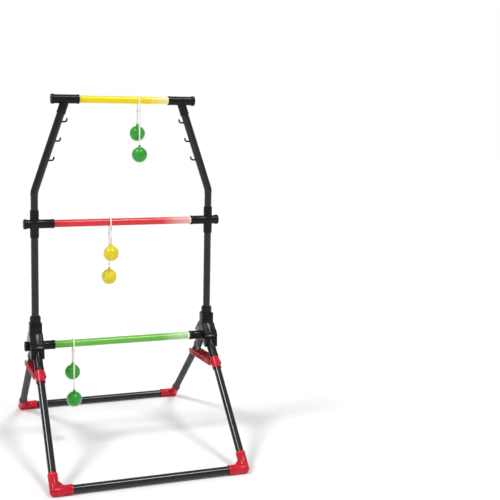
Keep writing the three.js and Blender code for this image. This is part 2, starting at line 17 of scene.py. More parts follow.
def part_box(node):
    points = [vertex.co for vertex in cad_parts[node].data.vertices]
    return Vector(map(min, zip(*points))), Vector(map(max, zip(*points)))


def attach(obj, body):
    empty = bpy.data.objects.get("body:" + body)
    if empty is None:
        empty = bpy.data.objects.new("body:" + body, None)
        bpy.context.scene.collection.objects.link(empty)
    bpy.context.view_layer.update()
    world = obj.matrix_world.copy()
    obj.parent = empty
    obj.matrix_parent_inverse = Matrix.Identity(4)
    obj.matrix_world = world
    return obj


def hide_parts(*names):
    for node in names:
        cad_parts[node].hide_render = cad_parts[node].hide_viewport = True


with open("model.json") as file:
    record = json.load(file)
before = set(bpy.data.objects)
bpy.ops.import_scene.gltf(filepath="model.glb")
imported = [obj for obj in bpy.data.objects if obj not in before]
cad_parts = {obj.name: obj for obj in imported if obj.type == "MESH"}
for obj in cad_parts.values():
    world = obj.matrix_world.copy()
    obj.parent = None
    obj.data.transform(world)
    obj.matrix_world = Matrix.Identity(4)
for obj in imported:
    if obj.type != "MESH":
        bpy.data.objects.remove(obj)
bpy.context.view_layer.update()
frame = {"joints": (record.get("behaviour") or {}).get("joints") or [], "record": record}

# %% [markdown]
# ## Places
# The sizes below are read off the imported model: the middle of an upright, the axis that the legs fold
# about, the direction of a leg. Wall thicknesses and edge radii are the maker's own choices, in
# millimetres, and MM turns them into the scene's metres.

# %% Places read from the model
MM = 0.001
X, Y, Z = Vector((1, 0, 0)), Vector((0, 1, 0)), Vector((0, 0, 1))
joints = {joint["name"]: joint for joint in frame["joints"]}
bodies = frame["record"]["behaviour"]["bodies"]
body_of = {node: body for body, nodes in bodies.items() for node in nodes}


def middle(node):
    low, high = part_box(node)
    return (low + high) / 2


UPRIGHT_X = middle("upright_right").x
TOP_X = middle("tee_right").x
HINGE_Z = joints["front_fold"]["pos_m"][2]
MIDDLE_Z = middle("rung_middle").z
TOP_Z = middle("rung_top").z
DOWN = Vector(joints["runner_slide_right"]["axis"])
LEG_SIN, LEG_COS = -DOWN.y, -DOWN.z
REAR_PIN = Vector(joints["link_turn_right"]["pos_m"])
LEG_OFFSET = REAR_PIN.y * LEG_COS + (REAR_PIN.z - HINGE_Z) * LEG_SIN
REAR_PIN_AT = REAR_PIN.y * LEG_SIN - (REAR_PIN.z - HINGE_Z) * LEG_COS
SIDES = {"left": -1, "right": 1}
WAYS = {"front": -1, "rear": 1}


def on_leg(side, way, down, out=LEG_OFFSET):
    """A place on a leg, in metres: down along it from the hinge axis, and out from that axis."""
    return Vector((side * UPRIGHT_X, way * (down * LEG_SIN + out * LEG_COS),
                   HINGE_Z - down * LEG_COS + out * LEG_SIN))


def up_leg(way):
    return Vector((0, -way * LEG_SIN, LEG_COS))


print("leg slope from upright:", round(degrees(atan2(LEG_SIN, LEG_COS)), 1), "degrees")
print("leg axis stands out from the hinge axis by", round(LEG_OFFSET / MM, 1), "mm")

# %% [markdown]
# ## The camera
# The frame is seen from the front and a little from its left, from about the height of the top rung.
# A camera could be aimed at a target instead, but three plain angles and a place are easier to read
# and to change. A small lens shift keeps the uprights upright in the view, and leaves the frame in the
# left half, without turning the camera.

# %% The camera
SENSOR_WIDTH = 36
LENS = 62.84
SHIFT_RIGHT, SHIFT_UP = 0.10, -0.07
STANDS_AT = (-0.5457, -2.3125, 0.9098)
TURNED_RIGHT, TILTED_DOWN, LEANING = 18.30, 6.64, 0.76
lens_data = bpy.data.cameras.new("camera")
lens_data.sensor_width = SENSOR_WIDTH
lens_data.lens = LENS
lens_data.shift_x = SHIFT_RIGHT
lens_data.shift_y = SHIFT_UP
camera = bpy.data.objects.new("camera", lens_data)
bpy.context.scene.collection.objects.link(camera)
turn = Matrix.Rotation(radians(-TURNED_RIGHT), 4, "Z") @ Matrix.Rotation(radians(90 - TILTED_DOWN), 4, "X")
turn = turn @ Matrix.Rotation(radians(LEANING), 4, "Z")
camera.matrix_world = Matrix.Translation(STANDS_AT) @ turn
bpy.context.scene.camera = camera
print("camera height:", camera.location.z, "m, lens:", lens_data.lens, "mm")

# %% [markdown]
# ## Helpers for modelling
# Blender's operators act on whatever is selected, so each piece of work starts from a clean
# selection. Faces, edges or corners are then picked by where they are or which way they face. That is
# safer than picking them by number, because an operator may number them in another order.

# %% Selecting
def rest():
    """Back to object mode with nothing selected."""
    if bpy.context.mode != "OBJECT":
        bpy.ops.object.mode_set(mode="OBJECT")
    bpy.ops.object.select_all(action="DESELECT")


def only(piece):
    rest()
    piece.select_set(True)
    bpy.context.view_layer.objects.active = piece


def edit(piece, kind="FACE", action="DESELECT"):
    only(piece)
    bpy.ops.object.mode_set(mode="EDIT")
    bpy.ops.mesh.select_mode(type=kind)
    bpy.ops.mesh.select_all(action=action)


def pick(piece, kind, test):
    """Selects the faces, edges or corners whose middle and normal pass the test."""
    edit(piece, kind)
    shape = bmesh.from_edit_mesh(piece.data)
    if kind == "FACE":
        for face in shape.faces:
            if test(face.calc_center_median(), face.normal):
                face.select_set(True)
    elif kind == "EDGE":
        for edge in shape.edges:
            if test((edge.verts[0].co + edge.verts[1].co) / 2, edge.verts[1].co - edge.verts[0].co):
                edge.select_set(True)
    else:
        for corner in shape.verts:
            if test(corner.co, corner.normal):
                corner.select_set(True)
    shape.select_flush_mode()
    bmesh.update_edit_mesh(piece.data)


def outward(piece):
    edit(piece, "FACE", "SELECT")
    bpy.ops.mesh.normals_make_consistent(inside=False)
    rest()


rest()
print("selected after a clean start:", len(bpy.context.selected_objects))

# %% [markdown]
# Most of the frame is round, so the first tool is a lathe: a ring of edges that is extruded from step
# to step along Z and resized at each one. A profile is a list of (radius, height) in millimetres. A
# closed profile comes back to its start, which makes a hollow piece such as a tube.

# %% A lathe, a block and placing
def named(name):
    piece = bpy.context.object
    piece.name = piece.data.name = name
    bpy.ops.object.transform_apply(location=True, rotation=True, scale=True)
    return piece


def turned(name, profile, closed=False, sides=48):
    rest()
    radius, height = profile[0]
    bpy.ops.mesh.primitive_circle_add(vertices=sides, radius=radius * MM, location=(0, 0, height * MM))
    piece = named(name)
    edit(piece, "EDGE", "SELECT")
    for next_radius, next_height in profile[1:] + (profile[:1] if closed else []):
        rise = (0, 0, (next_height - height) * MM)
        bpy.ops.mesh.extrude_edges_move(TRANSFORM_OT_translate={"value": rise})
        ratio = next_radius / radius
        bpy.ops.transform.resize(value=(ratio, ratio, 1), center_override=(0, 0, next_height * MM))
        radius, height = next_radius, next_height
    bpy.ops.mesh.select_all(action="SELECT")
    if closed:
        bpy.ops.mesh.remove_doubles(threshold=0.001 * MM)
    else:
        bpy.ops.mesh.fill_holes(sides=0)
    outward(piece)
    return piece


def placed(piece, point, up=Z, across=X):
    """Turns the piece's +Z to up and its +X to across, and moves its origin to the point."""
    only(piece)
    third = up.cross(across)
    basis = Matrix((across, third, up)).transposed().to_4x4()
    piece.matrix_world = Matrix.Translation(point) @ basis
    bpy.ops.object.transform_apply(location=True, rotation=True, scale=True)
    return piece


def bar(name, profile, start, end, closed=False, sides=48):
    """A turned piece whose heights are measured from start towards end."""
    along = (end - start).normalized()
    across = X if abs(along.x) < 0.9 else Y
    across = (across - along * across.dot(along)).normalized()
    return placed(turned(name, profile, closed, sides), start, along, across)


def block(name, low, high):
    """A box between two corners, given in millimetres."""
    rest()
    low, high = Vector(low) * MM, Vector(high) * MM
    bpy.ops.mesh.primitive_cube_add(size=1, location=(low + high) / 2)
    bpy.context.object.scale = high - low
    return named(name)


def whittled(piece, *cuts):
    """Cuts the piece by planes, each a point and the direction of the side that goes, in mm."""
    for point, gone in cuts:
        edit(piece, "FACE", "SELECT")
        bpy.ops.mesh.bisect(plane_co=Vector(point) * MM, plane_no=Vector(gone), use_fill=True,
                            clear_outer=True, threshold=0.001 * MM)
    outward(piece)
    return piece


print("a turned piece has 48 sides unless it says otherwise")

# %% [markdown]
# Moulded fittings are solids that run into each other, so they are joined and bored with the Boolean
# modifier. Small bevels follow, because no moulded or sawn edge is perfectly sharp, and it is the
# edge that catches the light.

# %% Joining, boring, bevelling and copying
def combined(piece, operation, *others):
    for other in others:
        only(piece)
        modifier = piece.modifiers.new("combine", "BOOLEAN")
        modifier.operation = operation
        modifier.object = other
        modifier.solver = "EXACT"
        bpy.ops.object.modifier_apply(modifier=modifier.name)
        bpy.data.objects.remove(other)
    return piece


def union(piece, *others):
    return combined(piece, "UNION", *others)


def bored(piece, *others):
    return combined(piece, "DIFFERENCE", *others)


def bevelled(piece, width, segments=2, angle=40):
    only(piece)
    modifier = piece.modifiers.new("edge", "BEVEL")
    modifier.width = width * MM
    modifier.segments = segments
    modifier.limit_method = "ANGLE"
    modifier.angle_limit = radians(angle)
    bpy.ops.object.modifier_apply(modifier=modifier.name)
    return piece


def smooth(piece, angle=32):
    only(piece)
    bpy.ops.object.shade_smooth_by_angle(angle=radians(angle))
    rest()
    return piece


def copied(piece, name, shift=None, mirrored=False):
    only(piece)
    bpy.ops.object.duplicate(linked=False)
    made = bpy.context.object
    made.name = made.data.name = name
    edit(made, "FACE", "SELECT")
    if mirrored:
        bpy.ops.transform.resize(value=(-1, 1, 1), center_override=(0, 0, 0))
        bpy.ops.mesh.flip_normals()
    if shift:
        bpy.ops.transform.translate(value=shift)
    rest()
    return made


def stand_for(piece, node, finish):
    """The piece is shown instead of a node of the model, and moves with that node's body."""
    piece.data.materials.clear()
    piece.data.materials.append(finish)
    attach(piece, body_of[node])
    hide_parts(node)


def fastened(piece, body, finish):
    """A small piece that the model leaves out rides on a body."""
    piece.data.materials.clear()
    piece.data.materials.append(finish)
    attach(piece, body)


# %% [markdown]
# ## Helpers for materials
# Colours are written as the hex codes that a paint chart gives. Blender's nodes want linear light, so
# one function turns one into the other. A second adds a node with its settings, and gives each input
# either a value or a link from another node. Patterns are sized by the real thing in millimetres.

# %% Colours and nodes
def colour(code):
    """The linear colour of an sRGB hex code, with its alpha."""
    parts = [int(code[i:i + 2], 16) / 255 for i in (1, 3, 5)]
    return tuple(c / 12.92 if c <= 0.04045 else ((c + 0.055) / 1.055) ** 2.4 for c in parts) + (1,)


def wire(tree, made, inputs):
    """Gives inputs of a node a value each, or a link where the value is another node's output."""
    for name, value in inputs.items():
        if isinstance(value, bpy.types.NodeSocket):
            tree.links.new(value, made.inputs[name])
        else:
            made.inputs[name].default_value = value


def node(tree, kind, inputs=None, stops=(), **settings):
    """Adds a node with its inputs and settings. A colour ramp takes (position, hex code) stops."""
    made = tree.nodes.new("ShaderNode" + kind)
    for name, value in settings.items():
        setattr(made, name, value)
    wire(tree, made, inputs or {})
    if stops:
        elements = made.color_ramp.elements
        while len(elements) < len(stops):
            elements.new(1)
        for element, (place, code) in zip(elements, stops):
            element.position = place
            element.color = colour(code)
    return made


def new_material(name):
    """A material, its node tree and its Principled shader."""
    made = bpy.data.materials.new(name)
    made.use_nodes = True
    return made, made.node_tree, made.node_tree.nodes["Principled BSDF"]


def per_mm(size):
    """The scale of a pattern whose features are that many millimetres across."""
    return 1 / (size * MM)


print("half grey, #808080, is", round(colour("#808080")[0], 3), "of full light")

# %% [markdown]
# No real surface is one flat colour. Its tint drifts, its gloss is uneven where it has been handled,
# and its skin has a fine relief, each at a size of its own. So one function makes any such surface
# from three noises, and a finish only has to say how large and how strong each of them is.

# %% A surface from three noises
NOISE_LOW, NOISE_HIGH = 0.3, 0.7


def surface(name, tint, gloss=None, relief=None, **sockets):
    """A material whose tint, gloss and relief each follow a noise.

    tint is (size, detail, stops), gloss is (size, detail, least, most) and relief is (size, detail,
    depth, strength), in millimetres. The other sockets keep one value all over.
    """
    made, tree, shader = new_material(name)
    place = node(tree, "TexCoord").outputs["Object"]
    size, detail, stops = tint
    clouds = node(tree, "TexNoise", {"Vector": place, "Scale": per_mm(size), "Detail": detail})
    shade = node(tree, "ValToRGB", {"Fac": clouds.outputs["Fac"]}, stops)
    wire(tree, shader, {"Base Color": shade.outputs["Color"]})
    if gloss:
        size, detail, least, most = gloss
        wear = node(tree, "TexNoise", {"Vector": place, "Scale": per_mm(size), "Detail": detail})
        shine = node(tree, "MapRange", {"Value": wear.outputs["Fac"], "From Min": NOISE_LOW,
                                        "From Max": NOISE_HIGH, "To Min": least, "To Max": most})
        wire(tree, shader, {"Roughness": shine.outputs["Result"]})
    if relief:
        size, detail, depth, strength = relief
        grain = node(tree, "TexNoise", {"Vector": place, "Scale": per_mm(size), "Detail": detail})
        skin = node(tree, "Bump", {"Height": grain.outputs["Fac"], "Distance": depth * MM,
                                   "Strength": strength})
        wire(tree, shader, {"Normal": skin.outputs["Normal"]})
    wire(tree, shader, {socket.replace("_", " "): value for socket, value in sockets.items()})
    return made


def tint_of(made):
    """The Principled shader of a surface and the socket that its colour comes from."""
    shader = made.node_tree.nodes["Principled BSDF"]
    return shader, shader.inputs["Base Color"].links[0].from_socket


print("patterns are stretched from", NOISE_LOW, "to", NOISE_HIGH)

# %% [markdown]
# ## Materials
# The tubes are thin steel with a black powder coat: dry powder is sprayed on and baked, so it melts
# into a skin with a faint orange peel and a soft sheen. A flat black would hide the tube's roundness,
# so the tint and the gloss wander a little, as if handled. The peel is really under a millimetre, and
# it is drawn at two so that it shows.

# %% Powder-coated tube
def powder_coat(name, light, dark, shine, coat):
    """Cloudy patches, an uneven gloss and the ripple of the melted powder."""
    return surface(name, (25, 3, [(0.35, dark), (0.65, light)]), (12, 4, shine - 0.05, shine + 0.07),
                   (2, 2, 0.05, 0.35), Specular_IOR_Level=0.1, Coat_Weight=coat, Coat_Roughness=0.1,
                   Coat_IOR=1.4)


black_tube = powder_coat("black powder-coated steel", "#0f0f10", "#080809", 0.40, 1.0)
grey_tube = powder_coat("grey powder-coated steel", "#4a4b4d", "#3e3f41", 0.50, 0.0)
print("tube materials:", black_tube.name, "and", grey_tube.name)

# %% [markdown]
# The fittings are ABS, moulded in coloured plastic. The mould was spark-eroded, which leaves a very
# fine matt grain, and handling polishes it unevenly. Thin rubbed scratches are a shade lighter than
# the plastic, as they are on any black fitting. They come from a noise that is squeezed nine times
# along one slanted direction, so no two fittings are scratched alike. The links have a coarser
# texture in the mould, and so a darker and duller red.

# %% Moulded ABS
def moulded_abs(name, light, dark, scuff, shine):
    """Coloured plastic with lighter scratches and a matt grain."""
    made = surface(name, (30, 2, [(0.3, dark), (0.7, light)]), (9, 4, shine - 0.05, shine + 0.08),
                   (0.9, 3, 0.03, 0.3), Specular_IOR_Level=0.25, IOR=1.45)
    tree = made.node_tree
    shader, tint = tint_of(made)
    slanted = node(tree, "Mapping", {"Vector": node(tree, "TexCoord").outputs["Object"],
                                     "Rotation": (0.5, 0.3, 0.7), "Scale": (1, 9, 1)})
    scratches = node(tree, "TexNoise", {"Vector": slanted.outputs["Vector"], "Scale": per_mm(6), "Detail": 5})
    amount = node(tree, "MapRange", {"Value": scratches.outputs["Fac"], "From Min": 0.62, "From Max": 0.72,
                                     "To Min": 0.0, "To Max": 0.45})
    scuffed = node(tree, "Mix", {"Factor": amount.outputs["Result"], 6: tint, 7: colour(scuff)},
                   data_type="RGBA")
    wire(tree, shader, {"Base Color": scuffed.outputs[2]})
    return made


black_fitting = moulded_abs("black moulded ABS", "#131314", "#0b0b0c", "#29292b", 0.24)
matt_fitting = moulded_abs("dark grey moulded ABS", "#4c4e50", "#3e4042", "#626466", 0.45)
red_plastic = moulded_abs("red moulded ABS", "#cf1f35", "#b5162a", "#d94a5d", 0.2)
red_textured = moulded_abs("textured red ABS", "#b3182b", "#971122", "#c24856", 0.4)
print("moulded materials:", black_fitting.name, matt_fitting.name, red_plastic.name, red_textured.name)

# %% [markdown]
# The link pins are mild steel with a zinc plate. The zinc grows on as small crystals, so it is bright
# but never mirror smooth: the tint and the gloss change from crystal to crystal. Real crystals are
# finer than this, and they are drawn at 1.5 mm so that they show.

# %% Zinc-plated steel
steel_pin = surface("zinc-plated steel", (1.5, 3, [(0.3, "#a3a6ab"), (0.7, "#c9ccd0")]),
                    (3, 3, 0.22, 0.4), (0.8, 2, 0.01, 0.3), Metallic=1.0)
print("pin material:", steel_pin.name)

# %% [markdown]
# The rungs are polycarbonate tubes with a light in their right end. The plastic is milky, so the
# light spreads along it: the colour is full at the left, pale near the light, and white at the very
# end. Real light inside real milky plastic would be slow and noisy to render, so the position along X
# drives a ramp instead, and the same ramp glows a little. A thin clear coat stands for the polished
# skin that gives the long highlight, and faint streaks run the way that the tube was drawn.

# %% Lit polycarbonate
def lit_tube(name, deep, full, pale, end_x):
    """A milky tube from -end_x to end_x, lit from its right end."""
    made, tree, shader = new_material(name)
    place = node(tree, "TexCoord").outputs["Object"]
    across = node(tree, "SeparateXYZ", {"Vector": place}).outputs["X"]
    along = node(tree, "MapRange", {"Value": across, "From Min": -end_x, "From Max": end_x})
    drawn = node(tree, "Mapping", {"Vector": place, "Scale": (0.12, 1, 1)}).outputs["Vector"]
    streaks = node(tree, "TexNoise", {"Vector": drawn, "Scale": per_mm(8), "Detail": 3}).outputs["Fac"]
    wander = node(tree, "MapRange", {"Value": streaks, "To Min": -0.015, "To Max": 0.015})
    shifted = node(tree, "Math", {0: along.outputs["Result"], 1: wander.outputs["Result"]}, operation="ADD")
    glow = node(tree, "ValToRGB", {"Fac": shifted.outputs["Value"]},
                [(0.0, deep), (0.12, full), (0.78, full), (0.93, pale), (0.985, pale),
                 (0.997, "#f6f4ee")]).outputs["Color"]
    lines = node(tree, "TexNoise", {"Vector": drawn, "Scale": per_mm(4), "Detail": 2}).outputs["Fac"]
    relief = node(tree, "Bump", {"Height": lines, "Distance": 0.04 * MM, "Strength": 0.3}).outputs["Normal"]
    wire(tree, shader, {"Base Color": glow, "Emission Color": glow, "Normal": relief, "Roughness": 0.2,
                        "Specular IOR Level": 0.2, "Coat Weight": 0.35, "Coat Roughness": 0.08,
                        "Emission Strength": 0.12})
    return made


HOLDER = {"top": "tee_right", "middle": "cross_right", "bottom": "hub_right"}
rung_finish = {}
for level, deep, full, pale in (("top", "#dfc504", "#e9d206", "#ecdf92"),
                                ("middle", "#c02028", "#d03036", "#e6a49c"),
                                ("bottom", "#4c9f28", "#66b03c", "#a9d393")):
    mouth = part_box(HOLDER[level])[0].x
    rung_finish[level] = lit_tube("lit polycarbonate " + level, deep, full, pale, mouth)
print("rung materials:", [finish.name for finish in rung_finish.values()])

# %% [markdown]
# The balls are soft vinyl, moulded in two halves round the knot of the cord. Vinyl is glossy and lets
# a little light in under the skin, which softens its shadows, so the shader gets some subsurface
# scattering that reaches 4 mm deep. A fine dimpled grain comes from the mould.

# %% Vinyl
def vinyl(name, light, dark):
    """Glossy soft plastic with a little light under the skin."""
    return surface(name, (14, 3, [(0.3, dark), (0.7, light)]), (5, 4, 0.18, 0.34), (1.6, 3, 0.04, 0.25),
                   IOR=1.5, Subsurface_Weight=0.15, Subsurface_Scale=0.004, Coat_Weight=0.3,
                   Coat_Roughness=0.1)


ball_finish = {"top": vinyl("green vinyl", "#28a824", "#1d951c"),
               "middle": vinyl("yellow vinyl", "#ecdc0a", "#dccb08")}
ball_finish["bottom"] = ball_finish["top"]
print("ball materials:", ball_finish["top"].name, "and", ball_finish["middle"].name)

# %% [markdown]
# The light in a rung sits behind a diffuser of frosted acrylic, which scatters it so evenly that the
# whole case seems to glow. The frosting is ground on, so its gloss is low and slightly patchy.

# %% Frosted acrylic
light_finish = surface("frosted acrylic", (5, 2, [(0.3, "#f1f3e2"), (0.7, "#ffffff")]),
                       (3, 2, 0.4, 0.6), IOR=1.49, Emission_Strength=0.8)
shader, tint = tint_of(light_finish)
wire(light_finish.node_tree, shader, {"Emission Color": tint})
print("light material:", light_finish.name)

# %% [markdown]
# The cord is braided nylon, 4 mm thick. Its strands cross about every 3 mm, and two sets of slanted waves
# stand for them, the higher of the two winning at each place. Where the waves dip, between the strands, the
# white is painted darker as shade in the grooves. The cord hangs almost straight down everywhere, so the
# waves can be taken from the height and from the two sideways directions, and the curve needs no UV map.

# %% Braided nylon
STRAND_SPACING = 3
WAVES_PER_SCALE = 20
STRAND_LEAN = 0.75


def braid(name):
    """Two slanted waves that cross, as the strands do, with painted shade in the grooves between them."""
    made, tree, shader = new_material(name)
    place = node(tree, "TexCoord").outputs["Object"]
    waves = []
    for lean in (STRAND_LEAN, -STRAND_LEAN):
        slanted = node(tree, "Mapping", {"Vector": place, "Rotation": (lean, lean, 0)}).outputs["Vector"]
        scale = per_mm(STRAND_SPACING) / WAVES_PER_SCALE
        wave = node(tree, "TexWave", {"Vector": slanted, "Scale": scale}, bands_direction="Z")
        waves.append(wave.outputs["Fac"])
    strands = node(tree, "Math", {0: waves[0], 1: waves[1]}, operation="MAXIMUM").outputs["Value"]
    # The tint follows the height of the strands: painted shade makes the grooves between them darker.
    tint = node(tree, "ValToRGB", {"Fac": strands}, [(0.2, "#c9c7bd"), (0.8, "#f7f6f0")]).outputs["Color"]
    relief = node(tree, "Bump", {"Height": strands, "Distance": 0.3 * MM, "Strength": 0.8}).outputs["Normal"]
    wire(tree, shader, {"Base Color": tint, "Normal": relief, "Roughness": 0.75, "Sheen Weight": 0.4,
                        "Sheen Roughness": 0.5})
    return made


white_cord = braid("braided white nylon")
print("strands cross every", STRAND_SPACING, "mm")

# %% [markdown]
# ## The bolas
# The cords come first, because they decide what else must stay clear of them. Each one goes up from one ball,
# over its rung and down to the other, so it is 276 mm from ball centre to ball centre. The part over the rung
# is a given list of points, and the rest hangs straight.

# %% The cords
CORD_RADIUS = 2 * MM
OVER_RUNG = [
    (12.5, -6), (12.5, 0), (12.1, 3.2), (10.8, 6.3), (8.8, 8.8), (6.3, 10.8), (3.2, 12.1), (0, 12.5),
    (-3.2, 12.1), (-6.3, 10.8), (-8.8, 8.8), (-10.8, 6.3), (-12.1, 3.2), (-12.5, 0), (-12.5, -6),
]
ON_THE_WAY_DOWN = (0.2, 0.4, 0.6, 0.8)
BALL_RADIUS = 21
NUB_HEIGHT = 5
UPPER_WAY = {"top": 1, "middle": -1, "bottom": 1}


def cord_route(level):
    """From the nub of the upper ball, over the rung, to the nub of the lower one."""
    rung = Vector((middle("bola_cord_" + level).x, 0, middle("rung_" + level).z))
    way = UPPER_WAY[level]
    over = [rung + Vector((0, way * along, up)) * MM for along, up in OVER_RUNG]
    ends = []
    for which, near in (("upper", over[0]), ("lower", over[-1])):
        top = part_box(f"ball_{level}_{which}")[1].z + 0.3 * MM
        ends.append(Vector((near.x, near.y, top)))
    start, end = ends
    first = [start.lerp(over[0], share) for share in ON_THE_WAY_DOWN]
    last = [over[-1].lerp(end, share) for share in ON_THE_WAY_DOWN]
    return [start] + first + over + last + [end]


def make_cord(level):
    points = cord_route(level)
    curve = bpy.data.curves.new("cord_" + level, "CURVE")
    curve.dimensions = "3D"
    curve.bevel_depth = CORD_RADIUS
    curve.bevel_resolution = 5
    curve.use_fill_caps = True
    spline = curve.splines.new("POLY")
    spline.points.add(len(points) - 1)
    for place, point in zip(spline.points, points):
        place.co = (*point, 1)
    piece = bpy.data.objects.new("cord_" + level, curve)
    bpy.context.scene.collection.objects.link(piece)
    curve.materials.append(white_cord)
    length = sum((b - a).length for a, b in zip(points, points[1:]))
    cad = "bola_cord_" + level
    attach(piece, body_of[cad])
    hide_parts(cad)
    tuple(points[0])
    print(piece.name, "is", round(length / MM), "mm between the nubs")


for level in UPPER_WAY:
    make_cord(level)

# %% [markdown]
# A ball is turned in one go: up its outside, round the nub and into the hole that the cord enters by.
# The profile of the sphere comes from sine and cosine. Two shallow steps at the equator are the
# seam where the halves meet, and a dimple underneath is where the knot was pushed in.

# %% The balls
NUB_RADIUS = 4
SEAM = 0.25
SEAM_ANGLE = 0.05
BALL_STEPS = 42


def ball_profile():
    rounds = []
    for step in range(3, BALL_STEPS - 1):
        angle = -pi / 2 + pi * step / BALL_STEPS
        if abs(angle) > SEAM_ANGLE:
            rounds.append((BALL_RADIUS * cos(angle), BALL_RADIUS * sin(angle)))
    low = [p for p in rounds if p[1] < 0]
    high = [p for p in rounds if p[1] > 0 and p[0] > NUB_RADIUS + 1]
    seam = [(BALL_RADIUS, -0.7), (BALL_RADIUS - SEAM, -0.3), (BALL_RADIUS - SEAM, 0.3), (BALL_RADIUS, 0.7)]
    dimple = [(0.8, -17), (2.6, -17.6), (3.6, -BALL_RADIUS + 0.6)]
    top = BALL_RADIUS + NUB_HEIGHT
    nub = [(NUB_RADIUS + 0.8, 20.2), (NUB_RADIUS, 21.2), (NUB_RADIUS - 0.6, top - 0.8),
           (NUB_RADIUS - 1.2, top), (2.3, top), (2.1, top - 2.5), (0.4, top - 3)]
    return dimple + low + seam + high + nub


first_ball = smooth(turned("ball", ball_profile()), 40)
for level in UPPER_WAY:
    for which in ("upper", "lower"):
        cad = f"ball_{level}_{which}"
        low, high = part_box(cad)
        centre = Vector(((low.x + high.x) / 2, (low.y + high.y) / 2, low.z + BALL_RADIUS * MM))
        ball = copied(first_ball, f"vinyl_ball_{level}_{which}", centre)
        stand_for(ball, cad, ball_finish[level])
bpy.data.objects.remove(first_ball)
print("six balls,", 2 * BALL_RADIUS, "mm across")

# %% [markdown]
# ## Straight tubes
# Uprights, legs and ground bars are all the same 20 mm tube with a wall of 1.5 mm, sawn to length.
# The saw leaves a sharp end, which is then broken by a small chamfer inside and out. Each is turned
# as a closed profile, so the tube is truly hollow, and one profile function serves any length.

# %% Uprights and ground bars
TUBE_RADIUS = 10
TUBE_WALL = 1.5
SAWN_EDGE = 0.3


def tube_profile(radius, wall, length):
    inner, edge = radius - wall, SAWN_EDGE
    return [(radius - edge, 0), (radius, edge), (radius, length - edge), (radius - edge, length),
            (inner + edge, length), (inner, length - edge), (inner, edge), (inner + edge, 0)]


def tube(name, start, end, wall=TUBE_WALL):
    length = (end - start).length / MM
    return smooth(bar(name, tube_profile(TUBE_RADIUS, wall, length), start, end, closed=True))


for side_name, side in SIDES.items():
    low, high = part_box("upright_" + side_name)
    foot, head = Vector((side * UPRIGHT_X, 0, low.z)), Vector((side * UPRIGHT_X, 0, high.z))
    stand_for(tube("steel_upright_" + side_name, foot, head), "upright_" + side_name, black_tube)
for way_name, way in WAYS.items():
    low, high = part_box("ground_bar_" + way_name)
    axis = (low + high) / 2
    start, end = Vector((low.x, axis.y, axis.z)), Vector((high.x, axis.y, axis.z))
    stand_for(tube("steel_ground_bar_" + way_name, start, end), "ground_bar_" + way_name, black_tube)
print("uprights are", round((head - foot).length / MM, 1), "mm long")

# %% [markdown]
# The legs start inside the moulded leg sockets, 40 mm down from the hinge, and end inside the red
# elbows. A rear leg is drilled across for the pin of its link, and the drill is a bar taken away.

# %% Legs
LEG_FROM = 40
LEG_STOP = 16.3
LINK_PIN_HOLE = 3.5
HALF_DRILL = 12
BAR_HEIGHT = middle("ground_bar_front").z
LEG_LENGTH = (HINGE_Z - BAR_HEIGHT + LEG_OFFSET * LEG_SIN) / LEG_COS
leg_finish = {"front": black_tube, "rear": grey_tube}
for side_name, side in SIDES.items():
    for way_name, way in WAYS.items():
        cad = f"leg_{way_name}_{side_name}"
        top = on_leg(side, way, LEG_FROM * MM)
        leg = tube("steel_" + cad, top, on_leg(side, way, LEG_LENGTH - LEG_STOP * MM))
        if way_name == "rear":
            pin = on_leg(side, way, REAR_PIN_AT)
            drill = [(LINK_PIN_HOLE, -HALF_DRILL), (LINK_PIN_HOLE, HALF_DRILL)]
            smooth(bored(leg, bar("drill", drill, pin, pin + X)))
        stand_for(leg, cad, leg_finish[way_name])
print("legs reach", round(LEG_LENGTH / MM, 1), "mm from the hinge to the ground bar")

# %% [markdown]
# The arms carry on from the uprights and lean in towards the top rung. Each is one tube bent cold
# round a former of 48 mm radius, so the bend is a spin of the end ring about the former's axis. The
# tube is a skin first, and Solidify then gives it its wall. Below the bend a swaged step shows where
# the narrower end goes into the sleeve, and three fine lines are rolled round that end. One arm is
# made, and its mirror image is the other.

# %% Arms
ARM_RADIUS = 10.5
SWAGED = 10
SWAGE_END = 3 * MM
SWAGE_STEP = 1 * MM
BEND_STEPS = 12
ARM_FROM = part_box("arm_right")[0].z
BEND_Z = MIDDLE_Z + 85 * MM
BEND_LENGTH = 8 * MM
LEAN = atan2(UPRIGHT_X - TOP_X, TOP_Z - BEND_Z)
BEND_RADIUS = BEND_LENGTH / tan(LEAN / 2)
TEE_STOP = 18.3
SLOPE = Vector((-sin(LEAN), 0, cos(LEAN)))
TOP_CORNER = Vector((TOP_X, 0, TOP_Z))
LINES = (662, 672, 684)
ROLLED = ((-0.8, SWAGED), (-0.4, SWAGED - 0.5), (0.4, SWAGED - 0.5), (0.8, SWAGED))


def ring_to(height, radius, was):
    """Extrudes the selected ring to a height in metres and gives it a radius in millimetres."""
    here, old = was
    bpy.ops.mesh.extrude_edges_move(TRANSFORM_OT_translate={"value": (0, 0, height - here)})
    ratio = radius / old
    bpy.ops.transform.resize(value=(ratio, ratio, 1), center_override=(UPRIGHT_X, 0, height))
    return height, radius


